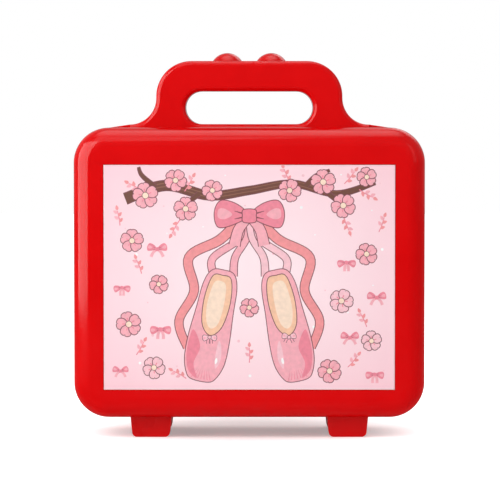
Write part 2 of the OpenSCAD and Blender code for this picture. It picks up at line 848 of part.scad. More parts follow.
module jewel_shelf() color("white") {
    lip_y = inner_front + 5;
    depth = back_in - fit - lip_y;
    translate([0, 0, shelf_z]) linear_extrude(panel_t) intersection() {
        inside_plan(fit);
        translate([bay_l, lip_y]) square([side_in, depth]);
    }
    // low rail along the shelf's front, and a cleat under it
    translate([bay_l, lip_y, shelf_z + panel_t - eps])
        cube([side_in - fit - bay_l, 1.6, 3]);
    translate([bay_l, back_in - fit - 6, shelf_z - 5]) cube([side_in - edge_r - bay_l, 6, 5 + eps]);
}

cushion_w = side_in - bay_l - 4;

// Row of padded rolls with a slit between each two, on a flat base
module ring_cushion() color("hotpink") {
    r = cushion_d / cushion_rolls / 2;
    x0 = bay_l + 1.5;
    y0 = inner_front + 5;
    translate([x0, y0, stage_z + fit]) cube([cushion_w, cushion_d, cushion_h - r]);
    for (i = [0:cushion_rolls - 1]) bar_x(y0 + r * (2 * i + 1), stage_z + fit + cushion_h - r, r - 0.25,
                                  x0, x0 + cushion_w);
}

carousel_x = (bay_l + side_in) / 2;
carousel_y = mid_y + 12;
carousel_z = top_in - 12;

module carousel_pin() color("silver") {
    translate([carousel_x, carousel_y, carousel_z - 3.4])
        cylinder(r = 1.5, h = top_in - carousel_z + 3.4);
    translate([carousel_x, carousel_y, carousel_z - 4.4]) cylinder(r = 2.6, h = 1);
    translate([carousel_x, carousel_y, top_in - 2]) cylinder(r = 6, h = 2);
}

// Hub that turns on its pin, with arms that end in upturned hooks
module necklace_carousel() color("white") {
    translate([carousel_x, carousel_y, carousel_z]) {
        difference() {
            union() {
                translate([0, 0, -3]) cylinder(r = 6, h = 7);
                for (i = [0:carousel_hooks - 1]) rotate([0, 0, i * 360 / carousel_hooks]) {
                    rotate([0, 90, 0]) cylinder(r = 1.2, h = carousel_reach);
                    translate([carousel_reach, 0, -1.8]) cylinder(r = 1.5, h = 6);
                    translate([carousel_reach, 0, 5]) sphere(1.9);
                }
            }
            translate([0, 0, -4]) cylinder(r = 1.5 + run, h = 10);
        }
    }
}

// ---- Inside of the door ----

liner_y = face_y + face_wall;
liner_t = 1.5;
rail_z = top_z - 34;
pocket_z = base_z + 16;

module door_liner() color("lightpink") {
    translate([0, 0, mid_z]) upright(liner_y + 0.02, liner_t)
        round_rect(2 * side_in - 18, case_h - 2 * wall - 18, 9);
}

module door_mirror() color("lightsteelblue") {
    z0 = pocket_z + pocket_h + 6;
    z1 = rail_z - 12;
    translate([0, 0, (z0 + z1) / 2]) upright(liner_y + liner_t + 0.02, 1.8)
        round_rect(door_mirror_w, z1 - z0, 8);
}

// Rail with a row of upturned hooks for necklaces
module hook_rail() color("white") {
    y0 = liner_y + liner_t + 0.02;
    translate([0, 0, rail_z]) upright(y0, 3) round_rect(rail_hooks * hook_pitch + 8, 9, 3);
    for (i = [0:rail_hooks - 1]) {
        x = (i - (rail_hooks - 1) / 2) * hook_pitch;
        bar_y(x, rail_z, 1.3, y0 + 2, y0 + 10);
        translate([x, y0 + 10, rail_z]) sphere(1.3);
        translate([x, y0 + 10, rail_z]) cylinder(r = 1.3, h = 4);
        translate([x, y0 + 10, rail_z + 4]) sphere(1.8);
    }
}

// Open pocket that catches the ends of the chains
module door_pocket() color("lightpink") {
    t = 1.6;
    y0 = liner_y + liner_t + 0.02;
    dip = 7;
    dip_r = ((pocket_w / 2 - 38) * (pocket_w / 2 - 38) + dip * dip) / (2 * dip);
    difference() {
        translate([-pocket_w / 2, y0, pocket_z]) cube([pocket_w, pocket_d, pocket_h]);
        translate([-pocket_w / 2 + t, y0 + t, pocket_z + t])
            cube([pocket_w - 2 * t, pocket_d - 2 * t, pocket_h]);
        // dipped front edge
        translate([0, y0 + pocket_d / 2 + 3, pocket_z + pocket_h - dip + dip_r])
            rotate([-90, 0, 0]) cylinder(r = dip_r, h = pocket_d);
    }
}

// ---- Movement ----

ear_low = axle_z - 5;

// Cast frame: a bedplate on the back wall, with bearing ears and the seat of the comb
module movement_frame() color("silver") {
    bed_x0 = worm_x - 10;
    bed_x1 = arbor_x + 17;
    difference() {
        union() {
            translate([bed_x0, bed_y, axle_z - 15.5]) cube([bed_x1 - bed_x0, bed_t, 29.5]);
            // left ear carries the cylinder, the spindle's foot and the governor arbor
            translate([spindle_x - 2.5, cyl_y - 4, ear_low]) cube([5, bed_y - cyl_y + 4 + eps, 10]);
            // right ear
            translate([cyl_x1 + 0.5, cyl_y - 3.5, ear_low]) cube([ear_t, bed_y - cyl_y + 3.5 + eps, 9]);
            // governor ear and the arm that holds the front of the worm shaft
            translate([worm_x - 7, governor_y - 9, axle_z - 3]) cube([2.4, bed_y - governor_y + 9 + eps, 14]);
            translate([worm_x - 7, governor_y - 9, worm_z - 3]) cube([10, 2.4, 6]);
            // seat of the comb
            translate([cyl_x0 - 0.4, cyl_y + 0.4, axle_z - 20])
                cube([cyl_len - 0.4, bed_y - cyl_y + 0.6, 5.4]);
            // boss round the winding arbor
            bar_y(arbor_x, axle_z, 5, bed_y - 0.8, bed_y + eps);
        }
        bar_x(cyl_y, axle_z, axle_r + run, spindle_x - 1.5, spindle_x + 4);
        bar_x(cyl_y, axle_z, axle_r + run, cyl_x1, cyl_x1 + ear_t + 2);
        translate([spindle_x, cyl_y, axle_z + axle_r + 1]) cylinder(r = spindle_r + run, h = 10);
        bar_x(governor_y, axle_z, axle_r + run, worm_x - 6, spindle_x + 4);
        bar_y(worm_x, worm_z, 0.8 + run, governor_y - 10, bed_y + 1.5);
        bar_y(arbor_x, axle_z, arbor_r + run, bed_y - 2, back_in + 1);
        for (x = comb_screw_x) bar_y(x, axle_z - 17.8, 0.9, cyl_y, cyl_y + 8);
        for (p = screw_spots) bar_y(p[0], p[1], 1.1, bed_y - 1, back_in + 1);
    }
}

comb_x0 = cyl_x0 + 0.4;
comb_screw_x = [comb_x0 + cyl_len * 0.25, comb_x0 + cyl_len * 0.72];

module movement_screws() color("silver") {
    for (p = screw_spots) translate([p[0], back_y, p[1]]) rotate([-90, 0, 0])
        pan_screw(1.05, wall + bed_t - 0.2, 2.4, 1.4);
}

pin_out = 0.65;

// Steel comb: a plate whose tuned teeth reach to the pins of the cylinder
module comb() color("lightgray") {
    tip = axle_z - cyl_r - pin_out - 0.12;
    low = axle_z - 20;
    saw = 0.3;
    upright(cyl_y - 0.4, 0.8) difference() {
        translate([comb_x0, low]) square([comb_teeth * comb_pitch, tip - low]);
        for (i = [0:comb_teeth])
            translate([comb_x0 + i * comb_pitch - saw / 2, low + 6 + 2.4 * i / comb_teeth])
                square([saw, tip]);
        for (x = comb_screw_x) translate([x, axle_z - 17.8]) circle(1.1);
    }
}

module comb_screws() color("goldenrod") {
    for (x = comb_screw_x) translate([x, cyl_y - 0.4, axle_z - 17.8]) rotate([90, 0, 0])
        pan_screw(0.88, 6.5, 1.9, 1);
}

// Wrapped spring that lets the arbor turn one way only
module clutch_spring() color("silver") {
    r = arbor_r + 0.9;
    translate([arbor_x, bed_y - 4.6, axle_z]) rotate([-90, 0, 0])
        linear_extrude(3.4, twist = -3 * 360, slices = 60, $fn = 8) translate([r, 0]) circle(0.4);
}

// The tune: which tracks are pinned at each step round the cylinder
steps = 24;
function pinned(track, step) = (track * 7 + step * 5 + floor(track / 3) * step) % 9 == 0;

module tune_cylinder() color("goldenrod") {
    bar_x(cyl_y, axle_z, cyl_r, cyl_x0, cyl_x1);
    for (i = [0:comb_teeth - 1], k = [0:steps - 1]) if (pinned(i, k))
        translate([comb_x0 + (i + 0.5) * comb_pitch, cyl_y, axle_z])
            rotate([k * 360 / steps + 7, 0, 0]) translate([0, 0, cyl_r - 0.6])
                cylinder(r = 0.28, h = 0.6 + pin_out, $fn = 6);
    bar_x(cyl_y, axle_z, axle_r, spindle_x - 1.2, pin_x + pinion_w / 2 + 0.4);
}

// Wheel on the cylinder: rim teeth drive the governor, crown teeth drive the spindle
module great_wheel() color("gold") {
    translate([wheel_x, cyl_y, axle_z]) rotate([0, 90, 0]) difference() {
        rotate([0, 0, 90]) linear_extrude(wheel_t) spur_outline(wheel_teeth);
        translate([0, 0, -1]) cylinder(r = axle_r, h = wheel_t + 2);
        for (a = [0:72:288]) rotate([0, 0, a + 20]) translate([5.4, 0, -1])
            cylinder(r = 1.9, h = wheel_t + 2);
    }
    translate([crown_x, cyl_y, axle_z]) rotate([0, -90, 0]) crown_ring(crown_teeth, 0.4);
}

module drive_pinion() color("goldenrod") {
    translate([pin_x - pinion_w / 2, cyl_y, axle_z]) rotate([0, 90, 0]) difference() {
        rotate([0, 0, 90 + 180 / pinion_teeth]) linear_extrude(pinion_w) spur_outline(pinion_teeth);
        translate([0, 0, -1]) cylinder(r = axle_r, h = pinion_w + 2);
    }
}

drum_wall = 1.2;
drum_front = drum_y + ded + 0.4;
drum_back = bed_y - 5.2;

// Drum of the mainspring, with its crown teeth towards the cylinder's pinion
module spring_drum() color("gold") {
    r = drum_r + crown_t / 2;
    difference() {
        bar_y(arbor_x, axle_z, r, drum_front, drum_back);
        bar_y(arbor_x, axle_z, r - drum_wall, drum_front + drum_wall, drum_back + 1);
        bar_y(arbor_x, axle_z, arbor_r + run, drum_front - 1, drum_back);
    }
    translate([arbor_x, drum_y, axle_z]) rotate([90, 0, 0]) rotate([0, 0, 180])
        crown_ring(drum_teeth, 0.4 + eps);
}

module drum_cover() color("goldenrod") {
    difference() {
        bar_y(arbor_x, axle_z, drum_r + crown_t / 2, drum_back, drum_back + 0.5);
        bar_y(arbor_x, axle_z, arbor_r + run, drum_back - 1, drum_back + 2);
    }
    difference() {
        bar_y(arbor_x, axle_z, drum_r + crown_t / 2 - drum_wall - run, drum_back - 1.4, drum_back + eps);
        bar_y(arbor_x, axle_z, arbor_r + run, drum_back - 3, drum_back + 2);
    }
}

// Coiled strip between the arbor and the drum's wall
module mainspring() color("dimgray") {
    turns = 7;
    r0 = arbor_r + 0.5;
    r1 = drum_r + crown_t / 2 - drum_wall - 0.15;
    t = 0.35;
    n = turns * 20;
    step = (r1 - r0 - t) / n;
    upright(drum_front + drum_wall + 0.5, drum_back - drum_front - drum_wall - 2.4)
        translate([arbor_x, axle_z]) polygon(concat(
            [for (i = [0:n]) polar(r0 + i * step, i * 360 / 20)],
            [for (i = [n:-1:0]) polar(r0 + i * step + t, i * 360 / 20)]
        ));
}

module winding_arbor() color("silver") {
    bar_y(arbor_x, axle_z, arbor_r, drum_front - 1, back_y + 9);
    bar_y(arbor_x, axle_z, arbor_r + 0.25, drum_front + drum_wall + 0.6, drum_back - 2);
}

// Butterfly key on the arbor's end
module winding_key() color("gold") {
    wing_r = 6.5;
    y0 = back_y + 1.4;
    len = key_out - 1.4;
    difference() {
        union() {
            bar_y(arbor_x, axle_z, 4, y0, y0 + len * 0.5);
            translate([arbor_x, y0 + len * 0.3, axle_z - 1.3]) linear_extrude(2.6) {
                for (s = [-1, 1]) translate([s * 8, len * 0.7 - wing_r]) circle(wing_r);
                translate([-8, 0]) square([16, len * 0.7 - wing_r]);
            }
        }
        bar_y(arbor_x, axle_z, arbor_r, y0 - 1, back_y + 9);
        translate([arbor_x, y0 + len - wing_r, axle_z - 3]) for (s = [-1, 1])
            translate([s * 8.6, 0, 0]) cylinder(r = 3, h = 6);
    }
}

// Upright shaft that turns the stage
module spindle() color("silver") {
    low = axle_z + axle_r + 1.2;
    translate([spindle_x, cyl_y, low]) cylinder(r = spindle_r, h = stage_z + 2.6 - low);
    translate([spindle_x, cyl_y, axle_z + crown_r - pinion_w / 2])
        rotate([0, 0, 180 / pinion_teeth]) linear_extrude(pinion_w) spur_outline(pinion_teeth);
}

module spindle_bush() color("goldenrod") {
    difference() {
        union() {
            translate([spindle_x, cyl_y, stage_z - panel_t - 1.6]) cylinder(r = 5, h = 1.6);
            translate([spindle_x, cyl_y, stage_z - panel_t - eps]) cylinder(r = bush_r, h = panel_t);
        }
        translate([spindle_x, cyl_y, stage_z - 10]) cylinder(r = spindle_r + run, h = 20);
    }
}

table_z = stage_z + 0.5;
table_t = 2.4;

module turntable() color("white") {
    translate([spindle_x, cyl_y, table_z]) difference() {
        union() {
            cylinder(r = table_r, h = table_t - 0.8);
            translate([0, 0, table_t - 0.8 - eps]) cylinder(r = table_r - 0.8, h = 0.8);
        }
        translate([0, 0, -1]) cylinder(r = spindle_r, h = 3.1);
    }
}

module governor_arbor() color("silver") {
    bar_x(governor_y, axle_z, axle_r, worm_x - 5.8, wheel_x + wheel_t + 0.6);
    translate([wheel_x - 0.4, governor_y, axle_z]) rotate([0, 90, 0])
        rotate([0, 0, -90 + 180 / pinion_teeth]) linear_extrude(wheel_t + 0.8)
            spur_outline(pinion_teeth);
}

worm_wheel_t = 1;

// Thin wheel with pointed teeth that ride in the worm's groove
module worm_wheel() color("gold") {
    tip = worm_wheel_r + 0.42;
    root = worm_wheel_r - 0.75;
    pitch_a = 360 / worm_teeth;
    translate([worm_x - worm_wheel_t / 2, governor_y, axle_z]) rotate([0, 90, 0])
        rotate([0, 0, 180]) linear_extrude(worm_wheel_t) difference() {
            polygon([for (i = [0:worm_teeth - 1]) each [
                polar(root, (i - 0.27) * pitch_a), polar(worm_wheel_r, (i - 0.15) * pitch_a),
                polar(tip, (i - 0.07) * pitch_a), polar(tip, (i + 0.07) * pitch_a),
                polar(worm_wheel_r, (i + 0.15) * pitch_a), polar(root, (i + 0.27) * pitch_a)
            ]]);
            circle(axle_r);
        }
}

// Endless screw with its shaft
module worm_shaft() color("lightgray") {
    turns = 5;
    bar_y(worm_x, worm_z, 0.8, disc_y - 1, bed_y + 1.2);
    translate([worm_x, governor_y - turns / 2 * worm_pitch, worm_z]) rotate([-90, 0, 0])
        linear_extrude(turns * worm_pitch, twist = -turns * 360, slices = turns * 16, $fn = 14)
            rotate([0, 0, -90 + turns / 2 * 360]) translate([worm_ecc, 0]) circle(worm_core);
}

// Two-bladed air brake with the disc that the brake shoe bears on
module air_fan() color("white") {
    blade_w = 5;
    difference() {
        union() {
            bar_y(worm_x, worm_z, 2, disc_y, fan_y + 1.9);
            bar_y(worm_x, worm_z, disc_r, disc_y, disc_y + 1.5);
            for (s = [-1, 1]) translate([worm_x + (s > 0 ? 1.6 : -fan_r), fan_y + 0.8, worm_z - blade_w / 2])
                cube([fan_r - 1.6, 0.8, blade_w]);
        }
        bar_y(worm_x, worm_z, 0.8, disc_y - 1, fan_y + 4);
    }
}

// ---- Dancer ----

// A tapering limb between two points
module limb(a, ra, b, rb) {
    hull() {
        translate(a) sphere(ra, $fn = 16);
        translate(b) sphere(rb, $fn = 16);
    }
}

dancer_z = table_z + table_t;
k = dancer_h / 88;

// Moulded figure on one pointe, with one foot drawn up to the knee and the arms raised in a ring
module ballerina_figure() color("bisque") {
    translate([spindle_x, cyl_y, dancer_z]) scale(k) {
        cylinder(r = 5, h = 1.2);
        limb([0, 0, 1.6], 1.2, [0, 0, 8], 1.7);
        limb([0, 0, 8], 1.7, [0, 0, 22], 2.3);
        limb([0, 0, 22], 2.3, [-1, 0, 38], 3.4);
        limb([1.8, 0, 38], 3.2, [11, -3, 26], 2.2);
        limb([11, -3, 26], 2.2, [2.6, -2.4, 20], 1.4);
        limb([0, 0, 39], 4.6, [0, 0, 46], 3.6);
        limb([0, 0, 46], 3.6, [0, 0, 55], 4.4);
        limb([0, 0, 55], 2, [0, 0, 62], 1.8);
        for (s = [-1, 1]) {
            limb([s * 4.6, 0, 55.5], 1.9, [s * 10.5, -2, 65], 1.5);
            limb([s * 10.5, -2, 65], 1.5, [s * 7.5, -2, 77], 1.2);
            limb([s * 7.5, -2, 77], 1.2, [s * 2.4, -2, 84], 1);
        }
        translate([0, 0, 67]) sphere(6, $fn = 24);
        translate([0, 0.6, 68]) sphere(6.2, $fn = 24);
        translate([0, 1.4, 75.2]) sphere(2.9, $fn = 16);
    }
}

// Tulle skirt: a shallow cone with a scalloped, rippled edge
folds = 16;
skirt_r = 20;
function skirt_rim(i) = skirt_r - 0.9 * abs(cos(i * 45));
function skirt_ring(n, r, z) = [for (i = [0:n - 1]) concat(polar(r, i * 360 / n), z)];
function skirt_hem(n, z) = [for (i = [0:n - 1])
    concat(polar(skirt_rim(i), i * 360 / n), z + 0.7 * sin(i * 90))];

module ballerina_tutu() color("pink") {
    n = folds * 4;
    r_in = 4.9;
    points = concat(skirt_ring(n, r_in, 41.6), skirt_hem(n, 38.6), skirt_hem(n, 37.8),
                    skirt_ring(n, r_in, 39.6));
    translate([spindle_x, cyl_y, dancer_z]) scale(k) polyhedron(points, [
        for (ring = [0:3], i = [0:n - 1]) let (a = ring * n, b = ((ring + 1) % 4) * n, j = (i + 1) % n)
            each [[a + i, a + j, b + i], [a + j, b + j, b + i]]
    ]);
}

back_shell();
rear_feet();
handle_front();
handle_rear();
handle_screws();
hinge_pins();
catch_magnet();
stage_deck();
plinth_front();
movement_window();
backdrop();
stage_mirror();
mirror_frame();
divider_wall();
jewel_shelf();
ring_cushion();
trinket_bin();
carousel_pin();
rocker_pin();
movement_frame();
movement_screws();
comb();
comb_screws();
clutch_spring();
spindle_bush();
door_shell();
picture_panel();
front_feet();
door_liner();
door_mirror();
hook_rail();
door_pocket();
catch_plate();
winding_arbor();
winding_key();
spring_drum();
drum_cover();
mainspring();
tune_cylinder();
great_wheel();
drive_pinion();
spindle();
turntable();
ballerina_figure();
ballerina_tutu();
governor_arbor();
worm_wheel();
worm_shaft();
air_fan();
play_button();
stop_button();
button_rocker();
brake_rod();
necklace_carousel();
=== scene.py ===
import math

import bmesh
import bpy
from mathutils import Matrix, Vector
from mathutils.bvhtree import BVHTree
from mathutils.geometry import delaunay_2d_cdt


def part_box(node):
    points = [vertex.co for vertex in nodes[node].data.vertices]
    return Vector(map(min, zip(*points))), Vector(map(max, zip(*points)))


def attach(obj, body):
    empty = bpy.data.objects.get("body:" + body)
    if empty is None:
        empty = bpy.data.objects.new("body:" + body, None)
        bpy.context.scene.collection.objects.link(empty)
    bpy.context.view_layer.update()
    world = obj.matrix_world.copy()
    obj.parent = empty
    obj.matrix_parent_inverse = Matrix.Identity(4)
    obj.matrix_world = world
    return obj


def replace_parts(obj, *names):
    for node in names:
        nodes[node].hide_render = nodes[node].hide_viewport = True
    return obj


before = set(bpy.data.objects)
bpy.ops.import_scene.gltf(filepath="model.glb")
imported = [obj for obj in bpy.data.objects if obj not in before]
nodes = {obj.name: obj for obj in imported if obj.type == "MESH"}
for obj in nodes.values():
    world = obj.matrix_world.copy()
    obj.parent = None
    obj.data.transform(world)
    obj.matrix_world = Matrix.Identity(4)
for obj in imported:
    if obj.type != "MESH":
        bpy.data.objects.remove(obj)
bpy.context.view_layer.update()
mm = 0.001

# small helpers


def linear(hexColour):  # sRGB hex to the linear values that shaders take
    parts = [int(hexColour[i:i + 2], 16) / 255 for i in (1, 3, 5)]
    return [c / 12.92 if c <= 0.04045 else ((c + 0.055) / 1.055) ** 2.4 for c in parts] + [1.0]


def addNode(tree, kind, inputs=None, **settings):  # inputs are values, or sockets to link from
    node = tree.nodes.new(kind)
    for key, value in settings.items():
        setattr(node, key, value)
    for key, value in (inputs or {}).items():
        if isinstance(value, bpy.types.NodeSocket):
            tree.links.new(value, node.inputs[key])
        else:
            node.inputs[key].default_value = value
    return node


def speckle(tree, sizeMm, detail, stretch=(1, 1, 1)):  # noise with blobs of a real size
    place = addNode(tree, "ShaderNodeTexCoord").outputs["Object"]
    if stretch != (1, 1, 1):
        place = addNode(tree, "ShaderNodeMapping", {"Vector": place, "Scale": stretch}).outputs[0]
    return addNode(tree, "ShaderNodeTexNoise", {"Vector": place, "Scale": 1 / (sizeMm * mm),
                                                "Detail": detail}).outputs["Fac"]


def makeMaterial(name, sockets, tint=None, gloss=None, relief=None, tintSpan=(0.3, 0.7)):
    # tint is (pattern, colour, other colour), gloss is (pattern, least and most roughness) and
    # relief is (pattern, depth in mm, strength); a pattern is what speckle takes after the tree,
    # or a function of the tree
    material = bpy.data.materials.new(name)
    material.use_nodes = True
    tree = material.node_tree
    shader = tree.nodes["Principled BSDF"]
    for key, value in sockets.items():
        shader.inputs[key].default_value = value
    made = {}

    def drawn(pattern):  # a pattern that is used twice is drawn once
        if pattern not in made:
            made[pattern] = pattern(tree) if callable(pattern) else speckle(tree, *pattern)
        return made[pattern]

    if tint:
        pattern, *colours = tint
        ramp = addNode(tree, "ShaderNodeValToRGB", {"Fac": drawn(pattern)})
        for stop, place, colour in zip(ramp.color_ramp.elements, tintSpan, colours):
            stop.position, stop.color = place, linear(colour)
        tree.links.new(ramp.outputs[0], shader.inputs["Base Color"])
    if gloss:
        pattern, least, most = gloss
        span = addNode(tree, "ShaderNodeMapRange", {"Value": drawn(pattern), "To Min": least,
                                                    "To Max": most})
        tree.links.new(span.outputs[0], shader.inputs["Roughness"])
    if relief:
        pattern, depthMm, strength = relief
        grain = addNode(tree, "ShaderNodeBump", {"Height": drawn(pattern), "Strength": strength,
                                                 "Distance": depthMm * mm})
        tree.links.new(grain.outputs[0], shader.inputs["Normal"])
    return material


# materials: grains and weaves finer than half a millimetre are drawn coarser, so that they show

def glossyAbs(name, low, high, roughness=(0.07, 0.12)):
    # injection-moulded ABS from a polished tool: deep colour, sharp but slightly wavy reflections
    drift = (22.0, 2.0)
    return makeMaterial(name, {"IOR": 1.53, "Specular IOR Level": 0.12, "Subsurface Weight": 0.03,
                               "Subsurface Radius": (0.004, 0.0015, 0.001)},
                        tint=(drift, low, high), gloss=(drift, *roughness),
                        relief=((4.0, 1.0), 0.02, 0.35))


def satinPlastic(name, low, high, roughness=(0.38, 0.5)):
    # moulded plastic or lacquer with a fine even grain: soft, even highlights
    grain = (0.8, 3.0)
    return makeMaterial(name, {"IOR": 1.49, "Subsurface Weight": 0.06,
                               "Subsurface Radius": (0.003, 0.002, 0.002)},
                        tint=((30.0, 2.0), low, high), gloss=(grain, *roughness),
                        relief=(grain, 0.02, 0.6))


def workedMetal(name, low, high, roughness, grainMm=0.5, depthMm=0.004, stretch=(1, 1, 1)):
    # turned, drawn, cast or ground metal: a fine grain, which stretches into streaks on the comb
    grain = (grainMm, 4.0, stretch)
    return makeMaterial(name, {"Metallic": 1.0}, tint=(grain, low, high),
                        gloss=(grain, *roughness), relief=(grain, depthMm, 0.5))


def silveredGlass():
    # float glass silvered behind: a hard clear reflection with a very faint green depth
    return makeMaterial("silvered float glass",
                        {"Metallic": 1.0, "Coat Weight": 0.6, "Coat Roughness": 0.02},
                        tint=((60.0, 2.0), "#DCE6E2", "#E8EFEC"), gloss=((12.0, 2.0), 0.02, 0.05))


def clearStyrene():
    # clear moulded polystyrene pane: nearly invisible but for its reflections and faint scuffs
    return makeMaterial("clear moulded styrene",
                        {"IOR": 1.57, "Transmission Weight": 1.0, "Alpha": 0.15,
                         "Base Color": linear("#F4FAFB")}, gloss=((3.0, 4.0), 0.01, 0.06))


redShell = glossyAbs("red moulded ABS", "#D60306", "#DB0508")
redFeet = glossyAbs("red moulded feet", "#CE0407", "#D60609", roughness=(0.24, 0.34))
pinkPlastic = satinPlastic("pink moulded polypropylene", "#F2A9BC", "#F6B6C7")
whitePlastic = satinPlastic("white moulded styrene", "#EFE9E6", "#F6F2EF", roughness=(0.3, 0.4))
goldPlastic = workedMetal("vacuum-metallised gold", "#E5B853", "#E9BE5B", (0.2, 0.24),
                          grainMm=1, depthMm=0.0003)
brass = workedMetal("turned brass", "#D0A64F", "#D7AF5A", (0.24, 0.3), grainMm=0.4,
                    depthMm=0.0002)
steel = workedMetal("drawn bright steel", "#A8ABAF", "#C9CCCF", (0.18, 0.32))
springSteel = workedMetal("blued spring steel", "#4A4D57", "#6A6E78", (0.24, 0.36))
combSteel = workedMetal("ground comb steel", "#B9BCC0", "#D4D6D9", (0.16, 0.28), grainMm=0.3,
                        stretch=(1, 1, 0.1))
castZinc = workedMetal("die-cast zinc", "#9B9D9F", "#B4B6B7", (0.38, 0.52), grainMm=1.2,
                       depthMm=0.02)
ferrite = satinPlastic("sintered ferrite", "#2A2A2C", "#35353A", roughness=(0.5, 0.65))
mirrorGlass = silveredGlass()
clearPane = clearStyrene()
print("materials made")


# the frame's own pieces

def dress(material, *names):
    for name in names:
        piece = nodes[name]
        piece.data.materials.clear()
        piece.data.materials.append(material)


dress(redShell, "back_shell", "door_shell", "handle_front", "handle_rear",
      "play_button", "stop_button")
dress(redFeet, "rear_feet", "front_feet")
dress(pinkPlastic, "backdrop", "door_liner", "trinket_bin", "door_pocket")
dress(whitePlastic, "stage_deck", "plinth_front", "divider_wall", "jewel_shelf", "hook_rail",
      "necklace_carousel", "turntable", "button_rocker", "air_fan")
dress(goldPlastic, "mirror_frame")
dress(brass, "comb_screws", "spindle_bush", "spring_drum", "drum_cover", "tune_cylinder",
      "great_wheel", "drive_pinion", "worm_wheel", "winding_key")
dress(steel, "handle_screws", "hinge_pins", "catch_plate", "carousel_pin", "rocker_pin",
      "movement_screws", "winding_arbor", "spindle", "governor_arbor", "worm_shaft", "brake_rod",
      "clutch_spring")
dress(springSteel, "mainspring")
dress(combSteel, "comb")
dress(castZinc, "movement_frame")
dress(ferrite, "catch_magnet")
dress(mirrorGlass, "stage_mirror", "door_mirror")
dress(clearPane, "movement_window")
print("frame dressed")


# mesh helpers

def inScene(name, data):
    piece = bpy.data.objects.new(name, data)
    bpy.context.collection.objects.link(piece)
    return piece


def link(mesh, body, smooth=True):  # makes a piece that rides on a body
    piece = inScene(mesh.name, mesh)
    if smooth:
        mesh.polygons.foreach_set("use_smooth", [True] * len(mesh.polygons))
    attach(piece, body)
    return piece


def meshOf(name, build, *materials):  # build fills a bmesh; doubles go, and faces point outwards
    work = bmesh.new()
    build(work)
    bmesh.ops.remove_doubles(work, verts=work.verts, dist=1e-6)
    bmesh.ops.recalc_face_normals(work, faces=work.faces)
    mesh = bpy.data.meshes.new(name)
    work.to_mesh(mesh)
    work.free()
    for material in materials:
        mesh.materials.append(material)
    return mesh


def baked(piece, name):  # the plain mesh that the modifiers give, in place of the object
    whole = piece.evaluated_get(bpy.context.evaluated_depsgraph_get())
    mesh = bpy.data.meshes.new_from_object(whole)
    bpy.data.objects.remove(piece)
    mesh.name = name
    return mesh


def melted(name, mesh, voxel, smoothing=0):  # closed shells fused into one skin; voxel in metres
    piece = inScene(name, mesh)
    melt = piece.modifiers.new("melt", "REMESH")
    melt.mode = "VOXEL"
    melt.voxel_size = voxel
    if smoothing:
        soften = piece.modifiers.new("soften", "SMOOTH")
        soften.factor = 0.5
        soften.iterations = smoothing
    return baked(piece, name)


def bridge(work, rings, closeEnds=True):  # faces between neighbouring rings of corners
    for low, high in zip(rings, rings[1:]):
        for k in range(len(low)):
            n = (k + 1) % len(low)
            work.faces.new((low[k], low[n], high[n], high[k]))
    if closeEnds:
        work.faces.new(rings[0][::-1])
        work.faces.new(rings[-1])


def outwards(azimuth, rise):  # the way out at these degrees, where azimuth 0 is the front
    a, r = math.radians(azimuth), math.radians(rise)
    return Vector((math.sin(a) * math.cos(r), -math.cos(a) * math.cos(r), math.sin(r)))


def aroundTurn(count):  # angles spread evenly over one turn
    return [k * math.tau / count for k in range(count)]


def sideways(before, after, by):  # a step of this length to the left of the way between the two
    wide, high = after[0] - before[0], after[1] - before[1]
    size = math.hypot(wide, high) or 1
    return -high / size * by, wide / size * by


def curveThrough(points, stepsEach, closed=True):  # smooth line through given points
    count = len(points)
    spans = count if closed else count - 1
    line = []
    for i in range(spans):
        a, b, c, d = (points[(i + k) % count] if closed else points[min(max(i + k, 0), count - 1)]
                      for k in (-1, 0, 1, 2))
        for j in range(stepsEach):
            t = j / stepsEach
            line.append(tuple(0.5 * (2 * q + (r - p) * t + (2 * p - 5 * q + 4 * r - s) * t ** 2
                                     + (3 * q - p - 3 * r + s) * t ** 3)
                              for p, q, r, s in zip(a, b, c, d)))
    if not closed:
        line.append(tuple(points[-1]))
    return line


# the printed picture

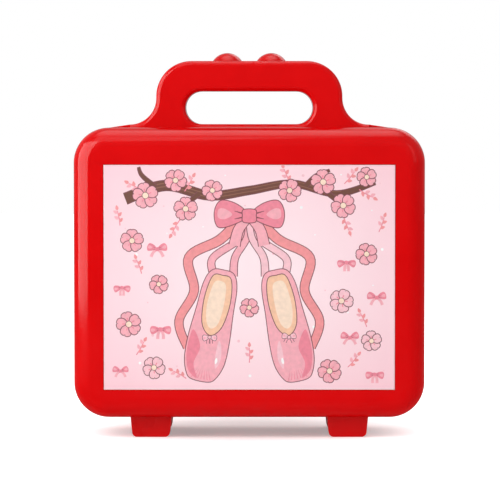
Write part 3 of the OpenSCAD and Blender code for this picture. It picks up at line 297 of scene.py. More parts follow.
picture = {
    "fieldEdge": "#FBD0D9", "fieldMiddle": "#FEE7EC",
    "fieldReach": (0.115, 0.09),  # metres across and up from the middle to the edge colour
    "inkLow": 0.955,              # brightness where the ink is thinnest, as a share of its colour
    "line": 0.5,                  # mm of dark line round each printed shape
    "frontBevel": 0.25,
    "shoeLength": 66, "shoeSpread": 15.5, "shoeTilt": 12, "heelHeight": 3, "toeBow": 3.4,
    "bowSize": 17, "bowHeight": 37, "looseRibbon": 5.6, "shoeRibbon": 4.2, "ribbonTaper": 0.8,
    "specks": 90, "speckRadius": 0.45, "speckTurn": 137.508, "speckReach": 1.38, "margin": 4,
    "branchWidth": 6.4, "branchTaper": 0.42, "twigWidth": 2.6, "twigTaper": 0.4,
    "branchSprig": 5.2, "fieldSprig": 5,
    # places in mm from the panel's middle: x, z, and then size and turn where they are given
    "branch": ((-74, 47), (-50, 55), (-24, 49), (0, 52), (26, 56), (52, 50), (75, 57)),
    "twigs": (((-56, 54), (-64, 61), (-66, 66)), ((-30, 50), (-38, 43), (-41, 35)),
              ((34, 55), (40, 61), (48, 64)), ((46, 51), (54, 44), (56, 37))),
    "branchSprigs": ((-68, 54, 60), (-36, 56, -30), (-44, 30, 150), (22, 61, 20), (60, 60, -40),
                     (58, 32, 200), (70, 50, -120)),
    "branchBlossoms": ((-62, 49, 7.4, 10), (-44, 58, 6.4, 40), (-38, 41, 6.8, 0),
                       (-22, 52, 6, 22), (24, 52, 6.6, 50), (44, 57, 7.2, 5), (56, 43, 7, 30),
                       (70, 60, 5.6, 12)),
    "fieldBlossoms": ((-70, 22, 6.6, 0), (-54, -4, 5.4, 30), (-72, -28, 7.2, 15),
                      (-57, -54, 6.4, 40), (70, 14, 6.2, 20), (55, -14, 6.8, 50),
                      (73, -38, 5.8, 5), (48, -56, 6.8, 28), (0, -18, 5.4, 36)),
    "fieldBows": ((-55, 17, 5, 12), (-76, -6, 4.2, -16), (-53, -31, 5.2, -10), (-77, -56, 4, 14),
                  (58, 9, 4.6, -14), (76, -12, 4.8, 12), (60, -36, 4.6, 16), (75, -58, 4.6, -12)),
    "fieldSprigs": ((-66, 7, 20), (-65, -42, -30), (-42, -58, 60), (68, -25, 25), (62, -50, -40),
                    (0, -46, 0), (-78, 36, 10), (79, 32, -20)),
}
inkHex = {"field": picture["fieldMiddle"], "rose": "#F0899B", "blush": "#F8AFBB",
          "petal": "#FBC9D2", "white": "#FFFDFD", "peach": "#F9C9A6", "cream": "#FDE3CC",
          "plum": "#7C3F49", "bark": "#6E4031", "barkLight": "#8F5A45", "coral": "#F4979A"}
inks = list(inkHex)
panelLow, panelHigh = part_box("picture_panel")
panelMiddle = (panelLow + panelHigh) / 2
panelSize = (panelHigh - panelLow) / mm


def fieldGlow(tree):  # 1 at the panel's middle, falling to 0 at the field's reach
    place = addNode(tree, "ShaderNodeTexCoord").outputs["Object"]
    across, up = picture["fieldReach"]
    centred = addNode(tree, "ShaderNodeMapping", {
        "Vector": place, "Scale": (1 / across, 0, 1 / up),
        "Location": (-panelMiddle.x / across, 0, -panelMiddle.z / up)}).outputs[0]
    return addNode(tree, "ShaderNodeTexGradient", {"Vector": centred},
                   gradient_type="SPHERICAL").outputs["Fac"]


def printedInk(name, hexColour):
    # offset ink under a matt film: a little uneven, under the film's own fine grain
    low = picture["inkLow"]
    deep = "#" + "".join(f"{int(int(hexColour[i:i + 2], 16) * low):02X}" for i in (1, 3, 5))
    tint, span = ((2.5, 1.0), deep, hexColour), (0.3, 0.7)
    if name == "field":
        tint, span = (fieldGlow, picture["fieldEdge"], hexColour), (0, 0.8)
    return makeMaterial(f"{name} ink on laminated card", {"Roughness": 0.45}, tint=tint,
                        relief=((0.6, 2.0), 0.004, 0.3), tintSpan=span)


def placed(points, x, z, turn, size=1, flip=1):
    c, s = math.cos(math.radians(turn)), math.sin(math.radians(turn))
    return [(x + flip * size * (c * px - s * pz), z + size * (s * px + c * pz))
            for px, pz in points]


def twiceArea(loop):  # above 0 where the loop runs anticlockwise
    return sum(a[0] * b[1] - b[0] * a[1] for a, b in zip(loop, loop[1:] + loop[:1]))


def grown(loop, by):  # the loop moved outwards along its own normals
    inwards = -by if twiceArea(loop) > 0 else by
    out = []
    for i, (x, z) in enumerate(loop):
        dx, dz = sideways(loop[i - 1], loop[(i + 1) % len(loop)], inwards)
        out.append((x + dx, z + dz))
    return out


def circle(x, z, radius, steps):
    return [(x + radius * math.cos(a), z + radius * math.sin(a)) for a in aroundTurn(steps)]


class Print:  # shapes in millimetres from the panel's middle; a later one covers an earlier one
    def __init__(self):
        self.shapes = []

    def shape(self, loop, colour, line=picture["line"]):
        if line:
            self.shapes.append((grown(loop, line), "plum"))
        self.shapes.append((loop, colour))

    def band(self, path, wide, colour, line=picture["line"], taper=1.0):  # a ribbon or a stroke
        last = len(path) - 1
        for grow, tint in ((line, "plum"), (0, colour)) if line else ((0, colour),):
            for i in range(last):
                corners = []
                for j in (i, i + 1):
                    half = (wide * (1 + (taper - 1) * j / last)) / 2 + grow
                    nx, nz = sideways(path[max(j - 1, 0)], path[min(j + 1, last)], half)
                    corners.append(((path[j][0] + nx, path[j][1] + nz),
                                    (path[j][0] - nx, path[j][1] - nz)))
                (a, b), (c, d) = corners
                self.shapes.append(([a, b, d, c], tint))


def printBlossom(art, x, z, size, turn, petal="blush"):
    for k in range(5):
        leaf = curveThrough([(0, 0.1), (0.4, 0.42), (0.4, 0.86), (0.1, 1.0), (0, 0.9), (-0.1, 1.0),
                             (-0.4, 0.86), (-0.4, 0.42)], 4)
        art.shape(placed(leaf, x, z, turn + 72 * k, size), petal)
    for k in range(5):
        a = math.radians(turn + 72 * k + 90)
        art.band([(x, z), (x + 0.55 * size * math.cos(a), z + 0.55 * size * math.sin(a))],
                 0.09 * size, "rose", 0)
    art.shape(circle(x, z, 0.24 * size, 14), "cream", 0.3)


def printBow(art, x, z, size, turn=0, colour="rose", shade="blush", line=picture["line"]):
    for flip in (1, -1):
        tail = placed(curveThrough([(0.08, -0.1), (0.38, -0.5), (0.52, -1.05)], 6, False),
                      x, z, turn, size, flip)
        art.band(tail, 0.3 * size, shade, line, 1.25)
    for flip in (1, -1):
        wing = curveThrough([(0.06, 0.02), (0.45, 0.4), (1.0, 0.52), (1.22, 0.1), (1.08, -0.4),
                             (0.5, -0.28)], 7)
        art.shape(placed(wing, x, z, turn, size, flip), colour, line)
        inner = curveThrough([(0.6, 0.04), (0.86, 0.24), (1.08, 0.22), (1.1, -0.06),
                              (0.86, -0.12)], 6)
        art.shape(placed(inner, x, z, turn, size, flip), shade, 0)
        for rise in (0.16, -0.12):
            fold = placed([(0.24, rise * 0.5), (0.52, rise)], x, z, turn, size, flip)
            art.band(fold, 0.05 * size, "plum", 0, 0.3)
    knot = curveThrough([(0.2, 0.2), (-0.2, 0.2), (-0.23, 0), (-0.2, -0.22), (0.2, -0.22),
                         (0.23, 0)], 5)
    art.shape(placed(knot, x, z, turn, size), colour, line)


def printSprig(art, x, z, size, turn):
    art.band(placed([(0, -1), (0.06, -0.2), (0, 0.8)], x, z, turn, size), 0.12 * size, "rose", 0)
    leaf = curveThrough([(0, 0), (0.2, 0.24), (0, 0.62), (-0.2, 0.24)], 4)
    for k, (rise, side) in enumerate(((-0.55, 1), (-0.2, -1), (0.15, 1), (0.5, -1), (0.85, 0))):
        art.shape(placed(placed(leaf, 0, rise, -52 * side), x, z, turn, size),
                  ("coral", "blush")[k % 2], 0)


def printShoe(art, x, z, turn, flip):
    tall = picture["shoeLength"]

    def on(points, steps=8, closed=True):
        return placed([(1.28 * px, pz * tall) for px, pz in curveThrough(points, steps, closed)],
                      x, z, turn, 1, flip)

    art.shape(on([(0, 0.02), (5.2, 0), (7.9, -0.12), (8.8, -0.36), (9.8, -0.62), (9.4, -0.82),
                  (7.2, -0.95), (4.2, -1.0), (-3.6, -1.0), (-6.8, -0.95), (-9.2, -0.82),
                  (-9.4, -0.62), (-8.4, -0.36), (-7.6, -0.12), (-5.0, 0)]), "blush")
    art.shape(on([(3.4, -0.7), (8.0, -0.56), (9.2, -0.66), (8.9, -0.8), (6.6, -0.93), (2.0, -0.985),
                  (4.8, -0.86)]), "rose", 0)
    art.shape(on([(-4.6, -0.62), (-6.2, -0.66), (-7.2, -0.78), (-5.6, -0.87), (-4.4, -0.76)]),
              "petal", 0)
    art.shape(on([(-5.9, -0.8), (-5.2, -0.83), (-4.6, -0.8), (-5.2, -0.77)], 5), "white", 0)
    art.shape(on([(0, -0.03), (3.9, -0.04), (5.6, -0.15), (6.0, -0.32), (4.4, -0.5), (0, -0.58),
                  (-4.2, -0.5), (-5.9, -0.32), (-5.5, -0.15), (-3.7, -0.04)]), "peach")
    art.shape(on([(0, -0.08), (3.0, -0.1), (4.2, -0.22), (4.2, -0.36), (2.6, -0.48), (0, -0.52),
                  (-2.6, -0.46), (-3.4, -0.3), (-2.6, -0.12)]), "cream", 0)
    for k in range(-3, 4):  # gathered pleats under the toe
        art.band(on([(k * 1.5, -0.985), (k * 1.25, -0.95), (k * 0.95, -0.905)], 3, False),
                 0.55, "rose", 0, 0.2)
    bx, bz = placed([(0, -0.6 * tall)], x, z, turn, 1, flip)[0]
    printBow(art, bx, bz, picture["toeBow"], flip * turn, "petal", "blush", 0.3)


def printBranch(art):
    stem = curveThrough(picture["branch"], 9, False)
    art.band(stem, picture["branchWidth"], "bark", taper=picture["branchTaper"])
    for rise in (1.3, -0.7):  # long grain in the bark
        grain = [(x, z + rise) for x, z in stem[6:-8]]
        art.band(grain, 0.7, "barkLight", 0, 0.5)
    for path in picture["twigs"]:
        art.band(curveThrough(path, 6, False), picture["twigWidth"], "bark",
                 taper=picture["twigTaper"])
    for x, z, turn in picture["branchSprigs"]:
        printSprig(art, x, z, picture["branchSprig"], turn)
    for x, z, size, turn in picture["branchBlossoms"]:
        printBlossom(art, x, z, size, turn)


def printField(art, wide, high):
    art.shape([(-wide, -high), (wide, -high), (wide, high), (-wide, high)], "field", 0)
    for k in range(picture["specks"]):  # pale specks spread evenly by the golden angle
        angle = math.radians(picture["speckTurn"] * k)
        reach = picture["speckReach"] * math.sqrt((k + 0.5) / picture["specks"])
        x, z = reach * wide * math.cos(angle), reach * high * math.sin(angle)
        if abs(x) < wide - picture["margin"] and abs(z) < high - picture["margin"]:
            radius = picture["speckRadius"] * (2 if k % 3 == 0 else 1)
            art.shape(circle(x, z, radius, 10), ("white", "petal")[k % 2], 0)


def printShoesAndRibbons(art):
    spread, tilt, heel = picture["shoeSpread"], picture["shoeTilt"], picture["heelHeight"]
    top, taper = picture["bowHeight"], picture["ribbonTaper"]
    for flip in (1, -1):  # loose ends that curl beside the shoes
        curl = curveThrough([(flip * 4, top), (flip * 17, top - 14), (flip * 36, 12),
                             (flip * 33, -8), (flip * 42, -26), (flip * 37, -42)], 9, False)
        art.band(curl, picture["looseRibbon"], "coral", taper=taper)
    for flip, tint in ((-1, "blush"), (1, "petal")):  # each shoe hangs by two ribbons
        for side, sway in ((6.4, 9), (-6.4, -4)):
            start = placed([(side, -1)], flip * spread, heel, tilt, 1, flip)[0]
            path = curveThrough([start, (flip * (spread * 0.8 + sway), heel + 9),
                                 (flip * (3 + sway * 0.3), heel + 20), (0, top - 4)], 9, False)
            art.band(path, picture["shoeRibbon"], tint, taper=taper)
    for flip in (1, -1):
        printShoe(art, flip * spread, heel, tilt, flip)
    printBow(art, 0, top, picture["bowSize"])


def printScatter(art):
    for x, z, size, turn in picture["fieldBlossoms"]:
        printBlossom(art, x, z, size, turn, ("blush", "petal")[x % 2])
    for x, z, size, turn in picture["fieldBows"]:
        printBow(art, x, z, size, turn, line=0)
    for x, z, turn in picture["fieldSprigs"]:
        printSprig(art, x, z, picture["fieldSprig"], turn)


def backward(face, places):  # true where a cell would face into the card
    a, b, c = (places[i] for i in face[:3])
    return (b - a).cross(c - a) < 0


def printedCard(art, wide, high):
    # the shapes cut each other into cells, and each cell takes the ink of its topmost shape
    corners, loops = [], []
    for loop, colour in art.shapes:
        loop = loop if twiceArea(loop) > 0 else loop[::-1]
        loops.append(list(range(len(corners), len(corners) + len(loop))))
        corners += [Vector((min(max(x, -wide), wide), min(max(z, -high), high))) for x, z in loop]
    places, _, cells, _, _, owners = delaunay_2d_cdt(corners, [], loops, 1, 1e-4)
    faces = [cell[::-1] if backward(cell, places) else cell for cell in cells]
    tints = [inks.index(art.shapes[max(shapes)][1]) for shapes in owners]

    def onCard(x, z, depth):
        return (panelMiddle.x + x * mm, panelLow.y + depth * mm, panelMiddle.z + z * mm)

    edge = picture["frontBevel"]
    points = [onCard(p.x * (1 - edge / wide), p.y * (1 - edge / high), 0) for p in places]
    start = len(points)
    for depth, inset in ((0, edge), (edge, 0), (panelSize.y, 0)):  # front, bevel's foot and back
        points += [onCard(sx * (wide - inset), sz * (high - inset), depth)
                   for sx, sz in ((-1, -1), (1, -1), (1, 1), (-1, 1))]
    for ring in (start, start + 4):
        for i in range(4):
            a, b = ring + i, ring + (i + 1) % 4
            faces.append([b, a, a + 4, b + 4])
    faces.append([start + 8, start + 11, start + 10, start + 9])
    tints += [inks.index("white")] * (len(faces) - len(tints))
    mesh = bpy.data.meshes.new("picture_card")
    mesh.from_pydata(points, [], faces)
    for name, colour in inkHex.items():
        mesh.materials.append(printedInk(name, colour))
    mesh.polygons.foreach_set("material_index", tints)
    return link(mesh, "door", False)


def printPicture():
    art = Print()
    wide, high = panelSize.x / 2, panelSize.z / 2
    printField(art, wide, high)
    printBranch(art)
    printShoesAndRibbons(art)
    printScatter(art)
    return printedCard(art, wide, high)


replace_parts(printPicture(), "picture_panel")
print("picture printed")


# the ring cushion

cushion = {
    "rolls": 4, "gap": 0.12,    # mm between neighbouring rolls
    "underSize": 0.5,           # mm that a roll starts short of its room at the sides and the top
    "crown": 0.42,              # radius along a roll's top, as a share of its smaller side
    "foot": 0.2,                # radius along its foot, as a share of the crown's
    "stations": 28, "tuck": 0.2, "tuckPower": 14,   # the wrapped ends pull in by this share
    "enlarged": 10,             # the cloth is blown up this many times while it settles
    "voxel": 0.85, "glued": 0.6,    # mm, the second from the foot upwards
    "frames": 20, "quality": 6, "mass": 0.3, "stiffness": 12, "bending": 0.4,
    "shrink": -0.07, "pressure": 3.5,
    "reach": 1.1,               # mm that a point may move
}


def velvet():
    # short-pile velvet: the pile catches light at a slant; where it lies this way and that in
    # patches, the lighter and darker tint is painted sheen
    return makeMaterial("rose pink velvet",
                        {"Roughness": 0.85, "Sheen Weight": 0.9, "Sheen Roughness": 0.35},
                        tint=((6.0, 2.0, (1, 1.6, 1)), "#E4588E", "#EB6C9C"),
                        relief=((0.35, 3.0), 0.05, 0.6))


def rollShell(work, low, high):  # one roll before it is stuffed, in enlarged metres
    size = high - low
    crown = min(size.y, size.z) * cushion["crown"]
    foot = crown * cushion["foot"]
    outline = []
    for cy, cz, start, r in ((high.y, high.z, 0, crown), (low.y, high.z, 90, crown),
                             (low.y, low.z, 180, foot), (high.y, low.z, 270, foot)):
        cy += r if cy == low.y else -r
        cz += r if cz == low.z else -r
        outline += [(cy + r * math.cos(a), cz + r * math.sin(a))
                    for a in (math.radians(start + 15 * k) for k in range(7))]
    middleY, rings = (low.y + high.y) / 2, []
    for i in range(cushion["stations"] + 1):
        t = i / cushion["stations"]
        tuck = 1 - cushion["tuck"] * abs(2 * t - 1) ** cushion["tuckPower"]
        rings.append([work.verts.new((low.x + size.x * t, middleY + (y - middleY) * tuck,
                                      low.z + (z - low.z) * tuck)) for y, z in outline])
    bridge(work, rings)


def settledCover(name, mesh, gluedTop):  # where the cover's points come to rest under pressure
    piece = inScene(name, mesh)
    foot = piece.vertex_groups.new(name="glued")
    foot.add([v.index for v in mesh.vertices if v.co.z < gluedTop], 1.0, "REPLACE")
    cloth = piece.modifiers.new("cover", "CLOTH")
    cover = cloth.settings
    cover.quality = cushion["quality"]
    cover.mass = cushion["mass"]
    cover.tension_stiffness = cover.compression_stiffness = cushion["stiffness"]
    cover.bending_stiffness = cushion["bending"]
    cover.shrink_min = cushion["shrink"]
    cover.use_pressure = True
    cover.uniform_pressure_force = cushion["pressure"]
    cover.vertex_group_mass = "glued"
    cover.effector_weights.gravity = 0
    cloth.point_cache.frame_end = cushion["frames"]
    for frameNumber in range(1, cushion["frames"] + 1):
        bpy.context.scene.frame_set(frameNumber)
    whole = piece.evaluated_get(bpy.context.evaluated_depsgraph_get())
    settled = [v.co.copy() for v in whole.data.vertices]
    piece.modifiers.clear()
    bpy.context.scene.frame_set(1)
    bpy.data.objects.remove(piece)
    return settled


def stuffed(low, high, index):
    big, name, less = cushion["enlarged"], f"roll_{index}", cushion["underSize"] * mm
    start, end = low + Vector((less, less, 0)), high - Vector((less, less, less))
    shell = meshOf(name, lambda work: rollShell(work, start * big, end * big))
    mesh = melted(name, shell, cushion["voxel"] * mm * big)
    before = [v.co.copy() for v in mesh.vertices]
    settled = before
    settled = settledCover(name, mesh, (low.z + cushion["glued"] * mm) * big)
    reach = cushion["reach"] * mm
    for vertex, was, now in zip(mesh.vertices, before, settled):
        move = (now - was) / big
        if move.length > reach:
            move *= reach / move.length
        place = was / big + move
        vertex.co = Vector(min(max(c, a), b) for c, a, b in zip(place, low, high))
    return mesh


def makeCushion():
    low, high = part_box("ring_cushion")
    pitch = (high.y - low.y) / cushion["rolls"]
    half = cushion["gap"] * mm / 2
    work = bmesh.new()
    for i in range(cushion["rolls"]):
        one = Vector((low.x, low.y + i * pitch + half, low.z))
        other = Vector((high.x, low.y + (i + 1) * pitch - half, high.z))
        work.from_mesh(stuffed(one, other, i))
    mesh = bpy.data.meshes.new("ring_cushion_velvet")
    work.to_mesh(mesh)
    work.free()
    mesh.materials.append(velvet())
    piece = link(mesh, "case")
    smooth = piece.modifiers.new("smooth", "SUBSURF")
    smooth.levels = smooth.render_levels = 1
    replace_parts(piece, "ring_cushion")


makeCushion()
print("cushion made")


# the dancer

dancer = {
    "fusing": {"dancer_figure": (0.3, 6), "dancer_hair": (0.24, 2), "dancer_bodice": (0.25, 4),
               "dancer_shoes": (0.2, 4)},    # voxel in mm, and rounds of smoothing
    "headMiddle": (0, 0.1, 67.3), "headReach": (5.15, 5.55, 6.2),
    "paintProud": 0.05,         # mm that the face paint stands off the skin
}
tableLow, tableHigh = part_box("turntable")
stand = Vector(((tableLow.x + tableHigh.x) / 2, (tableLow.y + tableHigh.y) / 2, tableHigh.z))


def onStage(x, y, z):  # a place in millimetres from the middle of the turntable's top
    return stand + Vector((x, y, z)) * mm


def tube(work, stations, sides=20, steps=5, about="X"):
    # a limb through stations (x, y, z, half width, half depth), closed at both ends
    path = curveThrough(stations, steps, False)
    usual, spare = Vector((1, 0, 0)), Vector((0, 0, 1))
    if about == "Z":
        usual, spare = spare, usual
    rings = []
    for i, (x, y, z, wide, deep) in enumerate(path):
        before, after = path[max(i - 1, 0)], path[min(i + 1, len(path) - 1)]
        ahead = (Vector(after[:3]) - Vector(before[:3])).normalized()
        across = spare if abs(usual.dot(ahead)) > 0.93 else usual  # spare where it runs along usual
        across = (across - ahead * across.dot(ahead)).normalized()
        other = ahead.cross(across)
        rings.append([work.verts.new(onStage(*(Vector((x, y, z)) + across * wide * math.cos(a)
                                               + other * deep * math.sin(a))))
                      for a in aroundTurn(sides)])
    bridge(work, rings)


def onDancer(mesh):
    return link(mesh, "dancer")


def fused(name, build, material):  # the built shells, fused as the dictionary says
    voxelMm, smoothing = dancer["fusing"][name]
    mesh = melted(name, meshOf(name + "_parts", build), voxelMm * mm, smoothing)
    mesh.materials.append(material)
    return onDancer(mesh)


def dollSkin():
    # moulded ABS sprayed in a flesh tone: soft sheen, a little warmth from inside
    return makeMaterial("sprayed flesh-tone ABS", {
        "IOR": 1.5, "Subsurface Weight": 0.12, "Subsurface Radius": (0.002, 0.0008, 0.0005)},
        tint=((9.0, 2.0), "#F3C6A8", "#F8D3B9"), gloss=((1.5, 2.0), 0.34, 0.44),
        relief=((0.5, 2.0), 0.01, 0.3))


def satin(name, low, high):
    # woven satin: long floats lie one way, so it shines along them
    threads = (0.35, 2.0, (1, 1, 0.15))
    return makeMaterial(name, {"Sheen Weight": 0.35, "Sheen Roughness": 0.35, "Anisotropic": 0.5},
                        tint=(threads, low, high), gloss=(threads, 0.28, 0.4),
                        relief=(threads, 0.02, 0.5))


def paintedHair():
    # brown lacquer over moulded strands
    strands = (0.5, 3.0, (1, 1, 0.2))
    return makeMaterial("brown lacquered hair", {"IOR": 1.5, "Coat Weight": 0.2},
                        tint=(strands, "#4A2A1E", "#70432F"), gloss=(strands, 0.3, 0.42),
                        relief=(strands, 0.03, 0.6))


def tulle():
    # soft nylon net: half see-through, so that layers build up their colour
    return makeMaterial("pink nylon tulle", {
        "Roughness": 0.55, "Sheen Weight": 0.4, "Alpha": 0.5,
        "Subsurface Weight": 0.1, "Subsurface Radius": (0.002, 0.001, 0.001)},
        tint=((0.6, 2.0), "#F9B4C4", "#FDD0DA"), relief=((0.4, 2.0), 0.03, 0.5))


pinkSatin = satin("pale pink satin", "#F4A7B8", "#FBC3CF")
roseSatin = satin("rose satin", "#E9768F", "#F08FA4")
pearl = satinPlastic("pearl bead lacquer", "#F3EAE4", "#FBF5F0", roughness=(0.15, 0.25))
inkBrown = satinPlastic("brown face paint", "#4A2C22", "#5A372B")
inkLip = satinPlastic("rose face paint", "#D9606F", "#E27482")
inkCheek = satinPlastic("blush face paint", "#F2B29C", "#F4B8A3")


def figureParts(work):
    tube(work, [(0, 0, 1.3, 1.0, 1.0), (0, 0, 4, 1.3, 1.4), (0, 0.1, 8.4, 1.2, 1.3),
                (0, 0.2, 11.5, 1.4, 1.5), (0, 0.6, 16.5, 2.0, 2.25), (0, 0.3, 20.3, 1.75, 1.85),
                (0, -0.1, 22.6, 1.85, 1.95), (-0.3, 0, 28, 2.5, 2.7), (-0.9, 0.1, 34, 3.2, 3.4),
                (-1.3, 0.2, 39.5, 3.4, 3.6)])
    tube(work, [(1.4, 0, 39, 3.3, 3.5), (4.6, -1.0, 35, 2.9, 3.0), (8.4, -2.3, 31, 2.35, 2.4),
                (11.4, -3.1, 27.9, 1.9, 1.9), (12.0, -3.2, 26.9, 1.4, 1.4)])
    tube(work, [(12.2, -3.2, 27.6, 1.5, 1.5), (11.2, -3.2, 26.4, 1.85, 1.85),
                (9.2, -3.0, 24.2, 1.95, 1.95), (6.9, -2.8, 21.7, 1.45, 1.45),
                (5.4, -2.7, 20.1, 1.15, 1.2), (4.2, -2.6, 18.8, 1.25, 1.3),
                (2.6, -2.5, 17, 0.8, 0.8)], about="Z")
    tube(work, [(0, 0, 36.4, 3.4, 2.9), (0, 0.2, 40, 4.8, 3.7), (0, 0.1, 43.6, 3.8, 3.0),
                (0, 0, 46.8, 3.0, 2.4), (0, -0.3, 50.3, 3.7, 2.8), (0, -0.4, 52.8, 4.2, 3.0),
                (0, 0, 55.4, 4.5, 2.3), (0, 0.1, 57, 3.1, 1.9), (0, 0.1, 58.2, 1.6, 1.6)])
    tube(work, [(0, 0.1, 56, 1.8, 1.8), (0, 0.1, 59.6, 1.4, 1.45), (0, 0.2, 63.4, 1.6, 1.8)])
    tube(work, [(0, -1.5, 60.9, 0.7, 0.7), (0, -1.3, 61.6, 2.1, 2.2), (0, -0.7, 63.4, 3.8, 4.2),
                (0, -0.1, 66, 5.0, 5.3), (0, 0.2, 68.8, 5.2, 5.5), (0, 0.4, 71.2, 4.3, 4.6),
                (0, 0.5, 73, 2.3, 2.5), (0, 0.5, 73.5, 0.6, 0.6)], 28)
    tube(work, [(0, -5.2, 66.6, 0.3, 0.3), (0, -5.75, 65.3, 0.42, 0.4), (0, -5.8, 64.9, 0.5, 0.42),
                (0, -5.3, 64.5, 0.3, 0.3)], 10)
    for s in (-1, 1):
        tube(work, [(s * 4.9, 0.3, 64.3, 0.35, 0.5), (s * 5.3, 0.4, 65.6, 0.5, 0.95),
                    (s * 5.1, 0.4, 67, 0.35, 0.7)], 10)
        tube(work, [(s * 3.2, 0, 55.2, 1.4, 1.3), (s * 5.3, -0.2, 56.1, 1.6, 1.55),
                    (s * 8.2, -1.2, 60.4, 1.3, 1.3), (s * 10.3, -2, 65.4, 1.1, 1.1),
                    (s * 9.9, -2.2, 70, 1.15, 1.15), (s * 8.1, -2.3, 75, 0.95, 0.95),
                    (s * 6.1, -2.3, 79, 0.68, 0.62), (s * 4.6, -2.3, 81.2, 0.85, 0.55),
                    (s * 3.0, -2.3, 82.8, 0.8, 0.45), (s * 1.4, -2.3, 84, 0.35, 0.3)])
        tube(work, [(s * 4.4, -2.9, 81, 0.35, 0.35), (s * 3.4, -3.2, 81.5, 0.32, 0.3),
                    (s * 2.7, -3.2, 82.1, 0.22, 0.2)], 8)


figure = fused("dancer_figure", figureParts, dollSkin())
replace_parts(figure, "ballerina_figure")
figureSkin = BVHTree.FromPolygons([v.co for v in figure.data.vertices],
                                  [p.vertices for p in figure.data.polygons])


def onFace(work, x, z):  # a painted point on the front of the head
    place = figureSkin.ray_cast(onStage(x, -12, z), Vector((0, 1, 0)))[0]
    return work.verts.new(place - Vector((0, dancer["paintProud"] * mm, 0)))


def paintPatch(work, loop):  # a filled shape that keeps to the curve of the face
    middle = [sum(p[i] for p in loop) / len(loop) for i in (0, 1)]
    rings = [[onFace(work, *(m + (c - m) * share for m, c in zip(middle, p))) for p in loop]
             for share in (1, 0.7, 0.35)]
    bridge(work, rings, closeEnds=False)
    centre = onFace(work, *middle)
    for k, corner in enumerate(rings[-1]):
        work.faces.new((corner, rings[-1][(k + 1) % len(loop)], centre))


def paintStroke(work, path, wide):  # a brush stroke that thins towards both ends
    pairs, last = [], len(path) - 1
    for i, (x, z) in enumerate(path):
        half = wide / 2 * (0.3 + 0.7 * math.sin(math.pi * i / last))
        dx, dz = sideways(path[max(i - 1, 0)], path[min(i + 1, last)], half)
        pairs.append((onFace(work, x + dx, z + dz), onFace(work, x - dx, z - dz)))
    for (a, b), (c, d) in zip(pairs, pairs[1:]):
        work.faces.new((a, b, d, c))


def brownPaint(work):  # upper lids, brows and three lashes at each eye
    for s in (-1, 1):
        lid = curveThrough([(s * 1.1, 66.6), (s * 1.7, 66.15), (s * 2.5, 66.1), (s * 3.3, 66.55)],
                           6, False)
        brow = curveThrough([(s * 1.2, 68.2), (s * 2.2, 68.75), (s * 3.4, 68.4)], 6, False)
        paintStroke(work, lid, 0.3)
        paintStroke(work, brow, 0.2)
        for at, dx, dz in ((3.25, 0.55, -0.15), (2.85, 0.4, -0.42), (2.3, 0.2, -0.5)):
            x, z = min(lid, key=lambda p: abs(abs(p[0]) - at))
            paintStroke(work, [(x, z), (x + s * dx / 2, z + dz / 2 - 0.04), (x + s * dx, z + dz)],
                        0.22)


def lipPaint(work):
    paintPatch(work, curveThrough([(-0.95, 63.35), (-0.35, 63.6), (0, 63.5), (0.35, 63.6),
                                   (0.95, 63.35), (0.4, 63.0), (-0.4, 63.0)], 3))


def cheekPaint(work):
    for s in (-1, 1):
        paintPatch(work, [(s * (3.0 + 0.75 * math.cos(a)), 64.8 + 0.6 * math.sin(a))
                          for a in aroundTurn(18)])


for name, build, paint in (("face_lines", brownPaint, inkBrown), ("face_lips", lipPaint, inkLip),
                           ("face_blush", cheekPaint, inkCheek)):
    mesh = meshOf(name, build, paint)
    for face in mesh.polygons:
        if face.normal.y > 0:
            face.flip()
    onDancer(mesh)

hair = {
    "locks": 30, "lockSteps": 6, "crown": (0, 1.5, 73.6),
    "front": 44,                        # degrees that the hairline rises over the face
    "sideDrop": 30, "sideAt": 95,       # how much lower it is this far round
    "napeDrop": 40,                     # and how much lower again at the back
    "lift": 1.035, "liftMore": 0.06,    # where strands lie, as a share of the head's size
    "thin": 0.45, "thicker": 0.35, "thinEnd": 0.3,      # half a strand's width
    "bunMiddleY": 1.6, "bunFoot": 74.4, "bunHeight": 2.4, "bunRadius": 2.0,
    "bunTurns": 2.3, "bunSteps": 40,
    "bandHeight": 74.1, "bandRadius": 2.55, "bandWidth": 0.42,
}


def onHead(azimuth, rise):
    way = outwards(azimuth, rise)
    return Vector([m + w * q for m, w, q in zip(dancer["headMiddle"], way, dancer["headReach"])])


def combedLock(azimuth):  # stations of one strand, from the hairline up to the bun
    middle, steps = Vector(dancer["headMiddle"]), hair["lockSteps"]
    side, sideAt = abs((azimuth + 180) % 360 - 180), hair["sideAt"]
    rise = (hair["front"] - hair["sideDrop"] * min(side / sideAt, 1) ** 1.5
            - hair["napeDrop"] * max(0, (side - sideAt) / (180 - sideAt)))
    start, stations = onHead(azimuth, rise), []
    for t in (j / steps for j in range(steps + 1)):
        base = start.lerp(Vector(hair["crown"]), t) - middle
        reach = math.sqrt(sum((c / q) ** 2 for c, q in zip(base, dancer["headReach"])))
        place = middle + base / reach * (hair["lift"] + hair["liftMore"] * math.sin(math.pi * t))
        size = (hair["thin"] + hair["thicker"] * math.sin(math.pi * min(t * 1.2, 1))
                - hair["thinEnd"] * max(0, t - 0.8))
        stations.append((*place, size, size * 0.8))
    return stations


